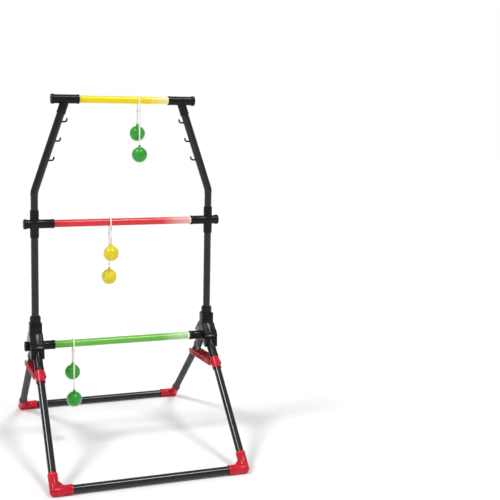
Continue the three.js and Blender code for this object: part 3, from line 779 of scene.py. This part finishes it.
rest()
bpy.ops.mesh.primitive_circle_add(vertices=48, radius=SWAGED * MM, location=(UPRIGHT_X, 0, ARM_FROM))
arm = named("steel_arm_right")
edit(arm, "EDGE", "SELECT")
ring = (ARM_FROM, SWAGED)
for line in LINES:
    for rise, radius in ROLLED:
        ring = ring_to((line + rise) * MM, radius, ring)
bend_from = BEND_Z - BEND_LENGTH
ring = ring_to(bend_from - SWAGE_END, SWAGED, ring)
ring = ring_to(bend_from - SWAGE_END + SWAGE_STEP, ARM_RADIUS, ring)
ring = ring_to(bend_from, ARM_RADIUS, ring)
bpy.ops.mesh.spin(steps=BEND_STEPS, angle=LEAN, center=(UPRIGHT_X - BEND_RADIUS, 0, bend_from), axis=Y)
after_bend = Vector((UPRIGHT_X, 0, BEND_Z)) + SLOPE * BEND_LENGTH
reach = TOP_CORNER - SLOPE * TEE_STOP * MM - after_bend
bpy.ops.mesh.extrude_edges_move(TRANSFORM_OT_translate={"value": reach})
bpy.ops.mesh.select_all(action="SELECT")
bpy.ops.mesh.remove_doubles(threshold=0.01 * MM)
outward(arm)
only(arm)
wall = arm.modifiers.new("wall", "SOLIDIFY")
wall.thickness = TUBE_WALL * MM
wall.offset = -1
bpy.ops.object.modifier_apply(modifier=wall.name)
smooth(arm)
other_arm = copied(arm, "steel_arm_left", mirrored=True)
stand_for(arm, "arm_right", black_tube)
stand_for(smooth(other_arm), "arm_left", black_tube)
print("arms lean in by", round(degrees(LEAN), 1), "degrees, bend radius", round(BEND_RADIUS / MM), "mm")

# %% [markdown]
# The rungs are extruded tubes with a 2 mm wall, and the light sits in the right end of each: a turned
# case for the batteries, stepped down to a small lamp that faces along the rung. Both are round, so
# the lathe makes them. The case can hardly be seen, but it is there for the light to come from.

# %% Rungs and their lights
RUNG_WALL = 2
LIGHT_CASE = [(2.2, 0), (2.8, 0.5), (2.8, 6), (2.3, 7), (5.6, 7), (6.3, 7.7), (6.3, 30), (5.8, 30.5),
              (5.8, 32), (6.3, 32.5), (6.3, 66), (6.7, 66.5), (6.7, 69.4), (6.1, 70)]
for level in UPPER_WAY:
    low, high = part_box("rung_" + level)
    height = middle("rung_" + level).z
    start, end = Vector((low.x, 0, height)), Vector((high.x, 0, height))
    stand_for(tube("lit_rung_" + level, start, end, RUNG_WALL), "rung_" + level, rung_finish[level])
    nose = Vector((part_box("light_module_" + level)[0].x, 0, height))
    case = smooth(bar("light_case_" + level, LIGHT_CASE, nose, nose + X))
    stand_for(case, "light_module_" + level, light_finish)
print("three rungs with a light in the right end of each")

# %% [markdown]
# ## Sockets and sleeves
# Every rung ends in a moulded barrel with a bead at its inner mouth and a flared lip at its outer
# one. The barrel is turned about its own axis, and so is the stepped drill that bores it: wide for
# the rung, then narrower for the plug of the end cap.

# %% Barrels
SOCKET_RADIUS = 12
BEAD_RADIUS = 12.6
LIP_RADIUS = 13.7
BORE = 10.5
MOUTH = 11.2
PLUG_RADIUS = 7.5
CLEARANCE = 0.5
RUNG_STOP = 5.7
SOCKET_INNER, SOCKET_OUTER, TEE_HALF = 52, 26, 36


def barrel(axis_x, axis_z, inner, outer):
    """A rung's socket on the right: metres for its place, millimetres for its reach each way."""
    length = inner + outer
    profile = [(BEAD_RADIUS - 0.7, 0), (BEAD_RADIUS, 0.7), (BEAD_RADIUS, 6.2), (SOCKET_RADIUS, 6.8),
               (SOCKET_RADIUS, length - 6.4), (LIP_RADIUS - 0.5, length - 5.2),
               (LIP_RADIUS, length - 0.8), (LIP_RADIUS - 0.5, length)]
    start = Vector((axis_x - inner * MM, 0, axis_z))
    return bar("barrel", profile, start, start + X)


def barrel_drill(axis_x, axis_z, inner, outer):
    stop = inner - RUNG_STOP
    plug = PLUG_RADIUS + CLEARANCE
    profile = [(MOUTH, -1), (MOUTH, 0), (BORE, 0.7), (BORE, stop), (plug, stop), (plug, inner + outer + 1)]
    start = Vector((axis_x - inner * MM, 0, axis_z))
    return bar("drill", profile, start, start + X)


def both_sides(piece, name, cad, finish):
    """The piece stands for the right-hand node, and a mirrored copy for the left-hand one."""
    piece.name = piece.data.name = name + "_right"
    other = smooth(copied(piece, name + "_left", mirrored=True))
    stand_for(piece, cad + "_right", finish)
    stand_for(other, cad + "_left", finish)


print("barrels are", SOCKET_INNER + SOCKET_OUTER, "mm long, and", 2 * TEE_HALF, "mm at the top")

# %% [markdown]
# The cross joins an upright, an arm and the middle rung: a barrel through a sleeve. The sleeve
# tapers at both mouths. On the tee at the top the sleeve comes up the slope of the arm and stops
# under the barrel, and a lip stiffens its mouth. Each is one moulding, so the round parts are united
# first and bored afterwards, and no inner wall is left inside. Two crossing bars of just the same
# radius touch along their crests, which leaves gaps in a union, so the sleeve is a hair thinner. The
# bevel comes last, on every edge.

# %% Crosses and tees
MOULDED_EDGE = 0.3
SLEEVE_HALF, SLEEVE_FLOOR = 37, 13.5
HAIR = 0.05
SLEEVE_RADIUS = SOCKET_RADIUS - HAIR
SLEEVE_PROFILE = [(11.2, -37), (11.6, -36.6), (SLEEVE_RADIUS, -33), (SLEEVE_RADIUS, 33), (11.6, 36.6),
                  (11.2, 37)]
BRANCH_PROFILE = [(11.9, -40), (12.2, -39.5), (12.2, -35), (11.8, -34.4), (11.8, 0)]
ARM_BORE = BORE + CLEARANCE
centre = Vector((UPRIGHT_X, 0, MIDDLE_Z))
cross = barrel(UPRIGHT_X, MIDDLE_Z, SOCKET_INNER, SOCKET_OUTER)
union(cross, bar("sleeve", SLEEVE_PROFILE, centre, centre + Z))
bored(cross, barrel_drill(UPRIGHT_X, MIDDLE_Z, SOCKET_INNER, SOCKET_OUTER),
      bar("drill", [(BORE, -SLEEVE_HALF - 3), (BORE, -SLEEVE_FLOOR)], centre, centre + Z),
      bar("drill", [(ARM_BORE, SLEEVE_FLOOR), (ARM_BORE, SLEEVE_HALF + 3)], centre, centre + Z))
both_sides(smooth(bevelled(cross, MOULDED_EDGE)), "moulded_cross", "cross", black_fitting)

tee = barrel(TOP_X, TOP_Z, TEE_HALF, TEE_HALF)
union(tee, bar("branch", BRANCH_PROFILE, TOP_CORNER, TOP_CORNER + SLOPE))
bored(tee, barrel_drill(TOP_X, TOP_Z, TEE_HALF, TEE_HALF),
      bar("drill", [(ARM_BORE, -42), (ARM_BORE, -18)], TOP_CORNER, TOP_CORNER + SLOPE))
both_sides(smooth(bevelled(tee, MOULDED_EDGE)), "moulded_tee", "tee", black_fitting)
print("barrels done: two crosses and two tees")

# %% [markdown]
# A screw with a black plastic head holds each tube in its sleeve from the front. The pan head is a low
# dome with a cross recess: the dome is turned, and two thin blocks cut the recess, which gives the
# eye the one sharp detail on a smooth sleeve. It is placed with its own axis towards the player.

# %% Screws
SCREW_DROP = {"cross": 26, "tee": 27}


def screw(name, point, facing, radius=3.2):
    """A pan-head screw with a cross recess, standing on a surface."""
    head = turned(name, [(radius - 0.2, -1), (radius - 0.2, 0), (radius, 0.3), (radius, 0.8),
                         (radius * 0.85, 1.4), (radius * 0.5, 1.8), (radius * 0.15, 1.9)], sides=32)
    reach, half_slot = radius * 0.55, 0.35
    bored(head, block("slot", (-reach, -half_slot, 0.9), (reach, half_slot, 3)),
          block("slot", (-half_slot, -reach, 0.9), (half_slot, reach, 3)))
    across = X if abs(facing.x) < 0.9 else Y
    across = (across - facing * across.dot(facing)).normalized()
    return smooth(placed(head, point, facing, across))


for side_name, side in SIDES.items():
    skin = -SOCKET_RADIUS * MM * Y
    slope = Vector((side * SLOPE.x, 0, SLOPE.z))
    places = {"cross": Vector((side * UPRIGHT_X, 0, MIDDLE_Z)) - SCREW_DROP["cross"] * MM * Z,
              "tee": Vector((side * TOP_X, 0, TOP_Z)) - SCREW_DROP["tee"] * MM * slope}
    for kind, place in places.items():
        head = screw(f"{kind}_screw_{side_name}", place + skin, -Y)
        fastened(head, "ladder", black_fitting)
print("four screws")

# %% [markdown]
# A cap closes the outer end of each barrel. Its disc has a rounded rim and a slightly dished face,
# and a plug behind it holds it in the bore. Rim, dish and plug are one profile on the lathe, whose
# last ring is closed by a face.

# %% End caps
CAP_PROFILE = [(7.1, -8), (7.5, -7.4), (7.5, 0), (12.9, 0), (13.2, 0.3), (13.1, 1.4), (12.2, 2.8),
               (11.6, 3), (10.6, 3), (9.8, 2.4), (1, 2.2)]
for level in UPPER_WAY:
    low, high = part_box(f"rung_cap_{level}_right")
    face = Vector((high.x - 3 * MM, 0, middle("rung_" + level).z))
    cap = smooth(bar("cap", CAP_PROFILE, face, face + X))
    both_sides(cap, "end_cap_" + level, "rung_cap_" + level, black_fitting)
print("six end caps")

# %% [markdown]
# Each arm carries three small hooks for hanging up the bolas. A hook is bent from round bar: it
# leaves the tube, turns up through a quarter circle, and its tip is rounded over. A curve with a
# bevel would give the bar, but not the swelling at its root, so a ring of edges is extruded and spun
# as the bar would be bent.

# %% Hooks
HOOK_RADIUS = 2.3
HOOK_TURN = 6.5
HOOK_SMOOTH = 50
ROOT = ((2.2, 1.25), (1.5, 1.12), (1.2, 1.0))
TIP = ((0.8, 0.92), (0.6, 0.76), (0.35, 0.5))


def make_hook(name, cad):
    low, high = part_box(cad)
    axis_z = low.z + HOOK_RADIUS * MM
    tip_x = low.x + HOOK_RADIUS * MM
    knee_x = tip_x + HOOK_TURN * MM
    rest()
    bpy.ops.mesh.primitive_circle_add(vertices=24, radius=HOOK_RADIUS * ROOT[0][1] * MM,
                                      location=(high.x, 0, axis_z), rotation=(0, pi / 2, 0))
    hook = named(name)
    edit(hook, "EDGE", "SELECT")
    here, was = high.x, ROOT[0][1]
    for step, ratio in ROOT:
        here -= step * MM
        bpy.ops.mesh.extrude_edges_move(TRANSFORM_OT_translate={"value": (-step * MM, 0, 0)})
        bpy.ops.transform.resize(value=(1, ratio / was, ratio / was), center_override=(here, 0, axis_z))
        was = ratio
    bpy.ops.mesh.extrude_edges_move(TRANSFORM_OT_translate={"value": (knee_x - here, 0, 0)})
    bpy.ops.mesh.spin(steps=8, angle=pi / 2, axis=-Y, center=(knee_x, 0, axis_z + HOOK_TURN * MM))
    height = high.z - sum(step for step, ratio in TIP) * MM
    rise = height - (axis_z + HOOK_TURN * MM)
    bpy.ops.mesh.extrude_edges_move(TRANSFORM_OT_translate={"value": (0, 0, rise)})
    for step, ratio in TIP:
        bpy.ops.mesh.extrude_edges_move(TRANSFORM_OT_translate={"value": (0, 0, step * MM)})
        height += step * MM
        bpy.ops.transform.resize(value=(ratio, ratio, 1), center_override=(tip_x, 0, height))
    bpy.ops.mesh.select_all(action="SELECT")
    bpy.ops.mesh.remove_doubles(threshold=0.01 * MM)
    bpy.ops.mesh.select_all(action="SELECT")
    bpy.ops.mesh.fill_holes(sides=0)
    outward(hook)
    return smooth(hook, HOOK_SMOOTH)


for number in ("1", "2", "3"):
    hook = make_hook("bent_hook_right_" + number, "hook_right_" + number)
    other = smooth(copied(hook, "bent_hook_left_" + number, mirrored=True), HOOK_SMOOTH)
    stand_for(hook, "hook_right_" + number, black_fitting)
    stand_for(other, "hook_left_" + number, black_fitting)
print("six hooks of", 2 * HOOK_RADIUS, "mm bar")

# %% [markdown]
# ## Flat-sided fittings
# The hubs, knuckles and links are drawn as plates: an outline in side view that is pulled out into a
# thickness. The outline is drawn corner by corner, closed into a face and extruded. The same tool
# makes the ribs and the cutters for the pockets between them.

# %% Plates and lattices
def plate(name, outline, low, high, across="X"):
    """An outline of (y, z) corners in mm, or (x, z) ones across Y, as thick as from low to high."""
    def spot(corner, depth):
        first, second = corner
        return Vector((depth, first, second) if across == "X" else (first, depth, second)) * MM

    rest()
    bpy.ops.mesh.primitive_plane_add(size=MM)
    piece = named(name)
    edit(piece, "VERT", "SELECT")
    bpy.ops.mesh.merge(type="CENTER")
    here = spot(outline[0], low)
    bpy.ops.transform.translate(value=here)
    for corner in outline[1:]:
        there = spot(corner, low)
        bpy.ops.mesh.extrude_vertices_move(TRANSFORM_OT_translate={"value": there - here})
        here = there
    bpy.ops.mesh.select_all(action="SELECT")
    bpy.ops.mesh.edge_face_add()
    bpy.ops.mesh.extrude_region_move(TRANSFORM_OT_translate={"value": spot((0, 0), high - low)})
    outward(piece)
    return piece


def triangles(low, high, rib):
    """The four openings that an X of ribs leaves in the rectangle from low to high."""
    (a, c), (b, d) = low, high
    half = hypot(b - a, d - c) * rib / 2
    side_cut, apex = half / (d - c), half / (b - a)
    x, z = (a + b) / 2, (c + d) / 2
    return [[(a + side_cut, c), (b - side_cut, c), (x, z - apex)],
            [(a + side_cut, d), (b - side_cut, d), (x, z + apex)],
            [(a, c + apex), (a, d - apex), (x - side_cut, z)],
            [(b, c + apex), (b, d - apex), (x + side_cut, z)]]


def arch(radius, middle_z, foot_half, foot_z, steps=12):
    """A shield's outline: a half circle on top, narrowing to a foot."""
    turns = [pi * step / steps for step in range(steps + 1)]
    top = [(radius * cos(angle), middle_z + radius * sin(angle)) for angle in turns]
    return top + [(-foot_half, foot_z), (foot_half, foot_z)]


print("an X in a 10 by 10 mm square leaves", len(triangles((0, 0), (10, 10), 1)), "openings")

# %% [markdown]
# ## The hubs
# The hub is the biggest moulding. A rounded square post takes the upright, and below it flares into
# a hood over the hinge, with a sloping ledge along its front and back that catches the light. The
# lowest rung's barrel goes through it. The hood is hollow, because the eyes of both leg frames turn
# inside it. A shield-shaped panel is raised on the front and back: it is a thin skin that follows the
# post and the slope, and only the part of it inside the shield's outline is kept.

# %% Hubs
HUB_HALF = 16.5
HUB_CORNER = 4.5
HUB_RIM = 1.2
HUB_FROM, HUB_TOP = 20, 64
HOOD_HALF = 17.5
HINGE = Vector((UPRIGHT_X, 0, HINGE_Z))
post = block("hub", (-HUB_HALF, -HUB_HALF, HUB_FROM), (HUB_HALF, HUB_HALF, HUB_TOP))
pick(post, "EDGE", lambda point, along: abs(along.z) > 10 * MM)
bpy.ops.mesh.bevel(offset=HUB_CORNER * MM, segments=5, affect="EDGES")
pick(post, "EDGE", lambda point, along: point.z > (HUB_TOP - 0.1) * MM)
bpy.ops.mesh.bevel(offset=HUB_RIM * MM, segments=3, affect="EDGES")
rest()
half_outline = [(16.5, 36), (43.6, 10.9), (44, 11.5), (49, 5.6), (49, 3)]
hood_outline = half_outline + [(-y, z) for y, z in reversed(half_outline)]
hood = plate("hood", hood_outline, -HOOD_HALF, HOOD_HALF)
cheeks = bar("cheeks", [(16.2, -17.5), (17, -16.7), (17, 16.7), (16.2, 17.5)], Vector(), X)
union(post, hood, cheeks)
room = plate("room", [(-16, 20), (-42, 5), (-42, -34), (42, -34), (42, 5), (16, 20)], -13.5, 13.5)
bored(post, room)


def shield(way):
    """A thin skin over the post and the hood, kept only inside the shield's outline."""
    skin = plate("shield", [(-17.2, 62), (-17.2, 36.3), (-41, 14.2), (-38, 12), (-12, 34), (-12, 62)],
                 -HOOD_HALF, HOOD_HALF)
    keep = plate("keep", arch(11, 49, 9, 15), -60, 0, across="Y")
    combined(skin, "INTERSECT", keep)
    edit(skin, "FACE", "SELECT")
    if way > 0:
        bpy.ops.transform.resize(value=(1, -1, 1), center_override=(0, 0, 0))
        bpy.ops.mesh.flip_normals()
    rest()
    return skin


union(post, *[shield(way) for way in WAYS.values()])
hub = placed(post, HINGE)
union(hub, barrel(UPRIGHT_X, HINGE_Z, SOCKET_INNER, SOCKET_OUTER))
upright_drill = [(BORE, 24), (BORE, HUB_TOP - 0.6), (BORE + 0.6, HUB_TOP), (BORE + 0.6, HUB_TOP + 2)]
bored(hub, barrel_drill(UPRIGHT_X, HINGE_Z, SOCKET_INNER, SOCKET_OUTER),
      bar("drill", upright_drill, HINGE, HINGE + Z))
both_sides(smooth(bevelled(hub, 0.35)), "moulded_hub", "hub", black_fitting)
print("hubs are", HUB_TOP, "mm tall above the hinge axis")

# %% [markdown]
# A separate stepped collar is pressed onto the top of each hub and grips the upright. It is a ring
# with a thick foot and a thinner neck, so its outline is closed on itself and turned once.

# %% Collars
COLLAR_PROFILE = [(10.5, 0.3), (14.3, 0.3), (14.7, 0.7), (14.7, 14.6), (14.4, 15), (13.5, 15.4),
                  (13.2, 16), (13.2, 17.5), (12.7, 18), (10.8, 18), (10.5, 17.7)]
hub_top = HINGE + HUB_TOP * MM * Z
collar = smooth(bar("collar", COLLAR_PROFILE, hub_top, hub_top + Z, closed=True))
both_sides(collar, "pressed_collar", "hub_collar", black_fitting)
print("collars start", round(hub_top.z / MM, 1), "mm above the floor")

# %% [markdown]
# ## The knuckles
# Each leg hangs from a knuckle: an eye that turns on the barrel of the lowest rung, a neck, and a
# socket that the leg is pushed into. The front knuckle also carries a skirt, which closes the hood
# when the frame is open. Its face is cored out in triangles, so that an X of ribs is left. Moulders
# do that to save plastic and to stop the thick part from sinking as it cools.

# %% Front knuckles
def side_view(way, down, out=LEG_OFFSET / MM):
    """A place on a leg as (y, z) in mm from the hinge axis."""
    place = on_leg(0, way, down * MM, out * MM)
    return place.y / MM, (place.z - HINGE_Z) / MM


def from_hinge(way, down, out=LEG_OFFSET / MM):
    return Vector((0, *side_view(way, down, out))) * MM


EYE_RADIUS = 17
KNUCKLE_HALF = 13
EYE_BORE = 12.5
NECK_END = 30
EYE_GAP = 0.15
RIGHT_THROUGH = 30
SOCKET_PROFILE = [(11, 18), (12, 19), (12, 78), (12.6, 78.8), (12.6, 87.2), (11.9, 88)]
SOCKET_DRILL = [(BORE, 39.7), (BORE, 87.4), (MOUTH - 0.1, 88), (MOUTH - 0.1, 89)]


def pin_through(radius):
    return bar("pin", [(radius, -RIGHT_THROUGH), (radius, RIGHT_THROUGH)], Vector(), X)


def knuckle_body(way, *extras):
    """The solid knuckle about the hinge axis. The front eye is the outer one, the rear the inner."""
    inner, outer = (EYE_GAP, KNUCKLE_HALF) if way < 0 else (-KNUCKLE_HALF, -EYE_GAP)
    origin = from_hinge(way, 0)
    further = from_hinge(way, 100)
    body = bar("knuckle", SOCKET_PROFILE, origin, further)
    union(body, *extras)
    bored(body, pin_through(EYE_RADIUS + 1))
    eye = bar("eye", [(EYE_RADIUS - 0.5, inner), (EYE_RADIUS, inner + 0.5), (EYE_RADIUS, outer - 0.5),
                      (EYE_RADIUS - 0.5, outer)], Vector(), X)
    neck = plate("neck", [side_view(way, 0, 16.5), (0, 0), side_view(way, NECK_END, 4.3),
                          side_view(way, NECK_END, 22.3)], inner, outer)
    union(body, eye, neck)
    return bored(body, pin_through(EYE_BORE), bar("drill", SOCKET_DRILL, origin, further))


skirt = plate("skirt", [(-46, 1), (-48, -25), (-34, -25), (-19, -4), (-19, 1)], -HOOD_HALF, HOOD_HALF)
SKIRT_RIB = 2.2
POCKET_FLOOR = -44.6
bored(skirt, *[plate("pocket", outline, -60, POCKET_FLOOR, across="Y")
               for outline in triangles((-15, -22.5), (15, -1.5), SKIRT_RIB)])
front_knuckle = placed(knuckle_body(WAYS["front"], skirt), HINGE)
both_sides(smooth(bevelled(front_knuckle, MOULDED_EDGE)), "front_knuckle", "knuckle_front", black_fitting)
print("front eyes are", 2 * EYE_RADIUS, "mm across")

# %% [markdown]
# The rear knuckle has no skirt. A thin web runs beside its neck, cored out in cells like the skirt,
# and behind its socket stands a small springy tab, which is pressed to let the leg go when the frame
# is packed away. Both are flat mouldings, so they are plates, and they melt into the same body.

# %% Rear knuckles
web_outline = [(20, -8), (44, -30), (52, -62), (38, -58), (22, -50), (14, -20)]
web = plate("web", web_outline, -13, -8)
cells = [[(21, -46), (31, -42), (22, -30)], [(34, -43), (24, -28), (37, -33)],
         [(18, -25), (33, -31), (21, -12)]]
bored(web, *[plate("cell", cell, -14, -11) for cell in cells])
tab = plate("tab", [side_view(1, 44, 22), side_view(1, 46, 32.2), side_view(1, 48, 33.6),
                    side_view(1, 76, 34.4), side_view(1, 77.5, 33.4), side_view(1, 76, 32),
                    side_view(1, 50, 31), side_view(1, 49, 22)], -6, 6)
rear_knuckle = placed(knuckle_body(WAYS["rear"], web, tab), HINGE)
both_sides(smooth(bevelled(rear_knuckle, MOULDED_EDGE)), "rear_knuckle", "knuckle_rear", matt_fitting)
print("four knuckles")

# %% [markdown]
# ## The red fittings
# A red runner slides on each front leg and a link ties it to the rear leg, so both leg frames open
# together. The runner is a moulded ring with a groove near each end for the fingers. It has no flat
# sides, so it is turned as a closed outline, a little wider than the leg that it slides on.

# %% Runners
RUNNER_AT = 106
RUNNER_PROFILE = [(10.5, -16.6), (11, -17), (12, -17), (12.4, -16.6), (12.4, -13), (11.9, -12.4),
                  (11.9, -11.4), (12.4, -10.8), (12.4, 10.8), (11.9, 11.4), (11.9, 12.4), (12.4, 13),
                  (12.4, 16.6), (12, 17), (11, 17), (10.5, 16.6)]
runner_place = on_leg(1, WAYS["front"], RUNNER_AT * MM)
runner = bar("runner", RUNNER_PROFILE, runner_place, runner_place - up_leg(WAYS["front"]), closed=True)
both_sides(smooth(runner), "sliding_runner", "runner", red_plastic)
print("runners sit", RUNNER_AT, "mm down the front legs")

# %% [markdown]
# The link is a channel with a cheek on each hand, a web between them, and an X of ribs in each bay of
# the web. The cheeks have X openings too, which show light through them. It is drawn upright with its
# rear pin at the origin, where the numbers are simple, and then laid along its true line. The front
# ends of the cheeks are thinned, so that they pass beside the leg.

# %% Links
LINK_INNER, LINK_OUTER = 12.9, 15.9
LINK_SLIM = 1.6
LINK_HALF = 7.5
LINK_END_RADIUS = 8
PIVOT_RADIUS = 3.6
WEB_HALF, WEB_THICK = 14, 3
WEB_FROM, WEB_TO = 30, 138.4
RIB, CHEEK_RIB, END_RIB = 1.8, 1.9, 2.4
RIB_REACH = 6.6
OPENING_HALF = 5
BAYS = 4
along = runner_place - REAR_PIN
link_length = along.length / MM
along.normalize()
bay = (WEB_TO - WEB_FROM) / BAYS
bays = [(WEB_FROM + number * bay, WEB_FROM + (number + 1) * bay) for number in range(BAYS)]


def link_disc(height, radius, low, high, edge=0.4):
    profile = [(radius - edge, low), (radius, low + edge), (radius, high - edge), (radius - edge, high)]
    start = Vector((0, 0, height)) * MM
    return bar("disc", profile, start, start + X, sides=32)


def cheek_parts(hand):
    """A cheek with its openings, and the disc of its front pivot."""
    low, high = sorted((hand * LINK_INNER, hand * LINK_OUTER))
    cheek = plate("link", [(-LINK_HALF, 0), (LINK_HALF, 0), (LINK_HALF, link_length - 6), (4, link_length),
                           (-4, link_length), (-LINK_HALF, link_length - 6)], low, high)
    union(cheek, link_disc(0, LINK_END_RADIUS, low, high))
    openings = [plate("opening", outline, low - 1, high + 1) for foot, head in bays
                for outline in triangles((-OPENING_HALF, foot + 0.8), (OPENING_HALF, head - 0.8), CHEEK_RIB)]
    slim = sorted((hand * (LINK_INNER + LINK_SLIM), hand * (LINK_OUTER + 1)))
    openings.append(block("slimmed", (slim[0], -9, link_length - 16), (slim[1], 9, link_length + 9)))
    low, high = sorted((hand * (LINK_INNER + 1), hand * (LINK_INNER + LINK_SLIM + 0.9)))
    return [bored(cheek, *openings), link_disc(link_length, PIVOT_RADIUS, low, high)]


print("each cheek has", 4 * BAYS, "openings")

# %% [markdown]
# Between the cheeks runs the web, and in each of its bays two ribs cross, with a straight rib at
# either end. The mould makes all of it in one shot, so everything is united into one solid, and only
# then is the hole for the rear pin drilled through both cheeks.

# %% Web and ribs
link, *others = cheek_parts(-1) + cheek_parts(1)
others.append(plate("web", [(-WEB_THICK / 2, WEB_FROM), (WEB_THICK / 2, WEB_FROM), (WEB_THICK / 2, WEB_TO),
                            (-WEB_THICK / 2, WEB_TO)], -WEB_HALF, WEB_HALF))
lean = RIB / 2 * hypot(2 * WEB_HALF, bay) / (2 * WEB_HALF)
ribs = [[(-WEB_HALF * hand, low - lean), (-WEB_HALF * hand, low + lean), (WEB_HALF * hand, high + lean),
         (WEB_HALF * hand, high - lean)] for low, high in bays for hand in (-1, 1)]
ribs += [[(-WEB_HALF, height - END_RIB / 2), (-WEB_HALF, height + END_RIB / 2),
          (WEB_HALF, height + END_RIB / 2), (WEB_HALF, height - END_RIB / 2)]
         for height in (WEB_FROM, WEB_TO)]
others += [plate("rib", corners, -RIB_REACH, RIB_REACH, across="Y") for corners in ribs]
union(link, *others)
bored(link, bar("drill", [(LINK_PIN_HOLE, -20), (LINK_PIN_HOLE, 20)], Vector(), X))
link = placed(link, REAR_PIN, along, X)
both_sides(smooth(bevelled(link, MOULDED_EDGE)), "ribbed_link", "link", red_textured)
print("links are", round(link_length, 1), "mm from pin to pin")

# %% [markdown]
# The rear pins are the only bare metal: zinc-plated rivets with domed heads, one on each cheek. Half
# of a pin is drawn as a profile, and the other half is the same list turned about.

# %% Link pins
PIN_FACE = 16.2
HEAD = ((3, 0), (4.7, 0), (5, 0.3), (4.7, 1), (3.6, 1.6), (2, 1.9), (0.6, 2))
half_pin = [(radius, PIN_FACE + rise) for radius, rise in HEAD]
pin_profile = [(radius, -height) for radius, height in reversed(half_pin)] + half_pin
pin = smooth(bar("pin", pin_profile, REAR_PIN, REAR_PIN + X), 40)
both_sides(pin, "zinc_pin", "link_pin", steel_pin)
print("pins are", 2 * half_pin[-1][1], "mm long over their heads")

# %% [markdown]
# The elbows at the four corners stand on the ground. Two sockets meet in a round corner with a thin
# gusset between them, and the underside is flattened so that the frame stands firmly. The flat is cut
# last, when the elbow stands at its true slope, because only then is the ground below it level.

# %% Elbows
ELBOW_RADIUS = 12.5
ELBOW_EDGE = 0.4
GUSSET, GUSSET_HALF = 36, 1.8
ELBOW_SOCKET = [(12.2, 0), (12.2, 35), (ELBOW_RADIUS, 35.6), (ELBOW_RADIUS, 43.2), (11.8, 44)]
LEG_SOCKET = [(radius - HAIR, height) for radius, height in ELBOW_SOCKET]
ELBOW_DRILL = [(BORE, 16), (BORE, 43.3), (MOUTH, 44), (MOUTH, 45)]
for way_name, way in WAYS.items():
    corner = on_leg(1, way, LEG_LENGTH)
    rest()
    bpy.ops.mesh.primitive_uv_sphere_add(segments=48, ring_count=32, radius=ELBOW_RADIUS * MM)
    elbow = named("elbow")
    gusset = plate("gusset", [(1, 1), (GUSSET - 1, 1), (1, GUSSET - 1)], -GUSSET_HALF, GUSSET_HALF,
                   across="Y")
    sockets = bar("socket", ELBOW_SOCKET, Vector(), X), bar("socket", LEG_SOCKET, Vector(), Z)
    union(elbow, *sockets, gusset)
    bored(elbow, *[bar("drill", ELBOW_DRILL, Vector(), axis) for axis in (X, Z)])
    placed(bevelled(elbow, ELBOW_EDGE), corner, up_leg(way), -X)
    whittled(elbow, ((0, 0, 0), (0, 0, -1)))
    both_sides(smooth(elbow), "red_elbow_" + way_name, "elbow_" + way_name, red_plastic)
print("four elbows")

# %% [markdown]
# ## The studio
# A white paper floor under a white sky gives the even light of a studio. The eye sees the sky at its
# full white, but it lights the frame at about half of that, so the black tubes stay black. Two far,
# soft lamps do the rest. The key lamp shines from the upper left. The other stands high in front, on
# the right, where its mirror image falls on the legs and ground bars and draws a bright line along
# them. Lamps close by would light the top of a frame this tall more than its feet.

# %% Floor, sky and lamps
bpy.context.scene.view_settings.view_transform = "Standard"
SKY_LIGHT, SKY_SEEN = 0.55, 1.0
FLOOR_SIZE, FLOOR_GAP = 24, 0.5 * MM
sky = bpy.data.worlds.new("studio")
bpy.context.scene.world = sky
sky.use_nodes = True
tree = sky.node_tree
seen = node(tree, "LightPath").outputs["Is Camera Ray"]
strength = node(tree, "MapRange", {"Value": seen, "To Min": SKY_LIGHT, "To Max": SKY_SEEN}).outputs["Result"]
wire(tree, tree.nodes["Background"], {"Color": colour("#ffffff"), "Strength": strength})

rest()
bpy.ops.mesh.primitive_plane_add(size=FLOOR_SIZE, location=(0, 0, -FLOOR_GAP))
floor = named("floor")
paper = surface("matt white paper", (6, 3, [(0.3, "#f4f4f4"), (0.7, "#f8f8f8")]), Roughness=0.85)
floor.data.materials.append(paper)


def lamp(name, direction, watts_per_m2, spread_degrees):
    """A soft lamp so far away that it lights everything alike, shining along a direction."""
    light = bpy.data.lights.new(name, "SUN")
    light.energy = watts_per_m2
    light.angle = radians(spread_degrees)
    made = bpy.data.objects.new(name, light)
    bpy.context.scene.collection.objects.link(made)
    made.rotation_euler = Vector(direction).to_track_quat("-Z", "Y").to_euler()


lamp("key", (0.55, 0.11, -0.83), 1.25, 12)
lamp("top", (-0.244, 0.425, -0.872), 1.0, 12)
print("lamps:", len(bpy.data.lights), "and a floor of", FLOOR_SIZE, "m")
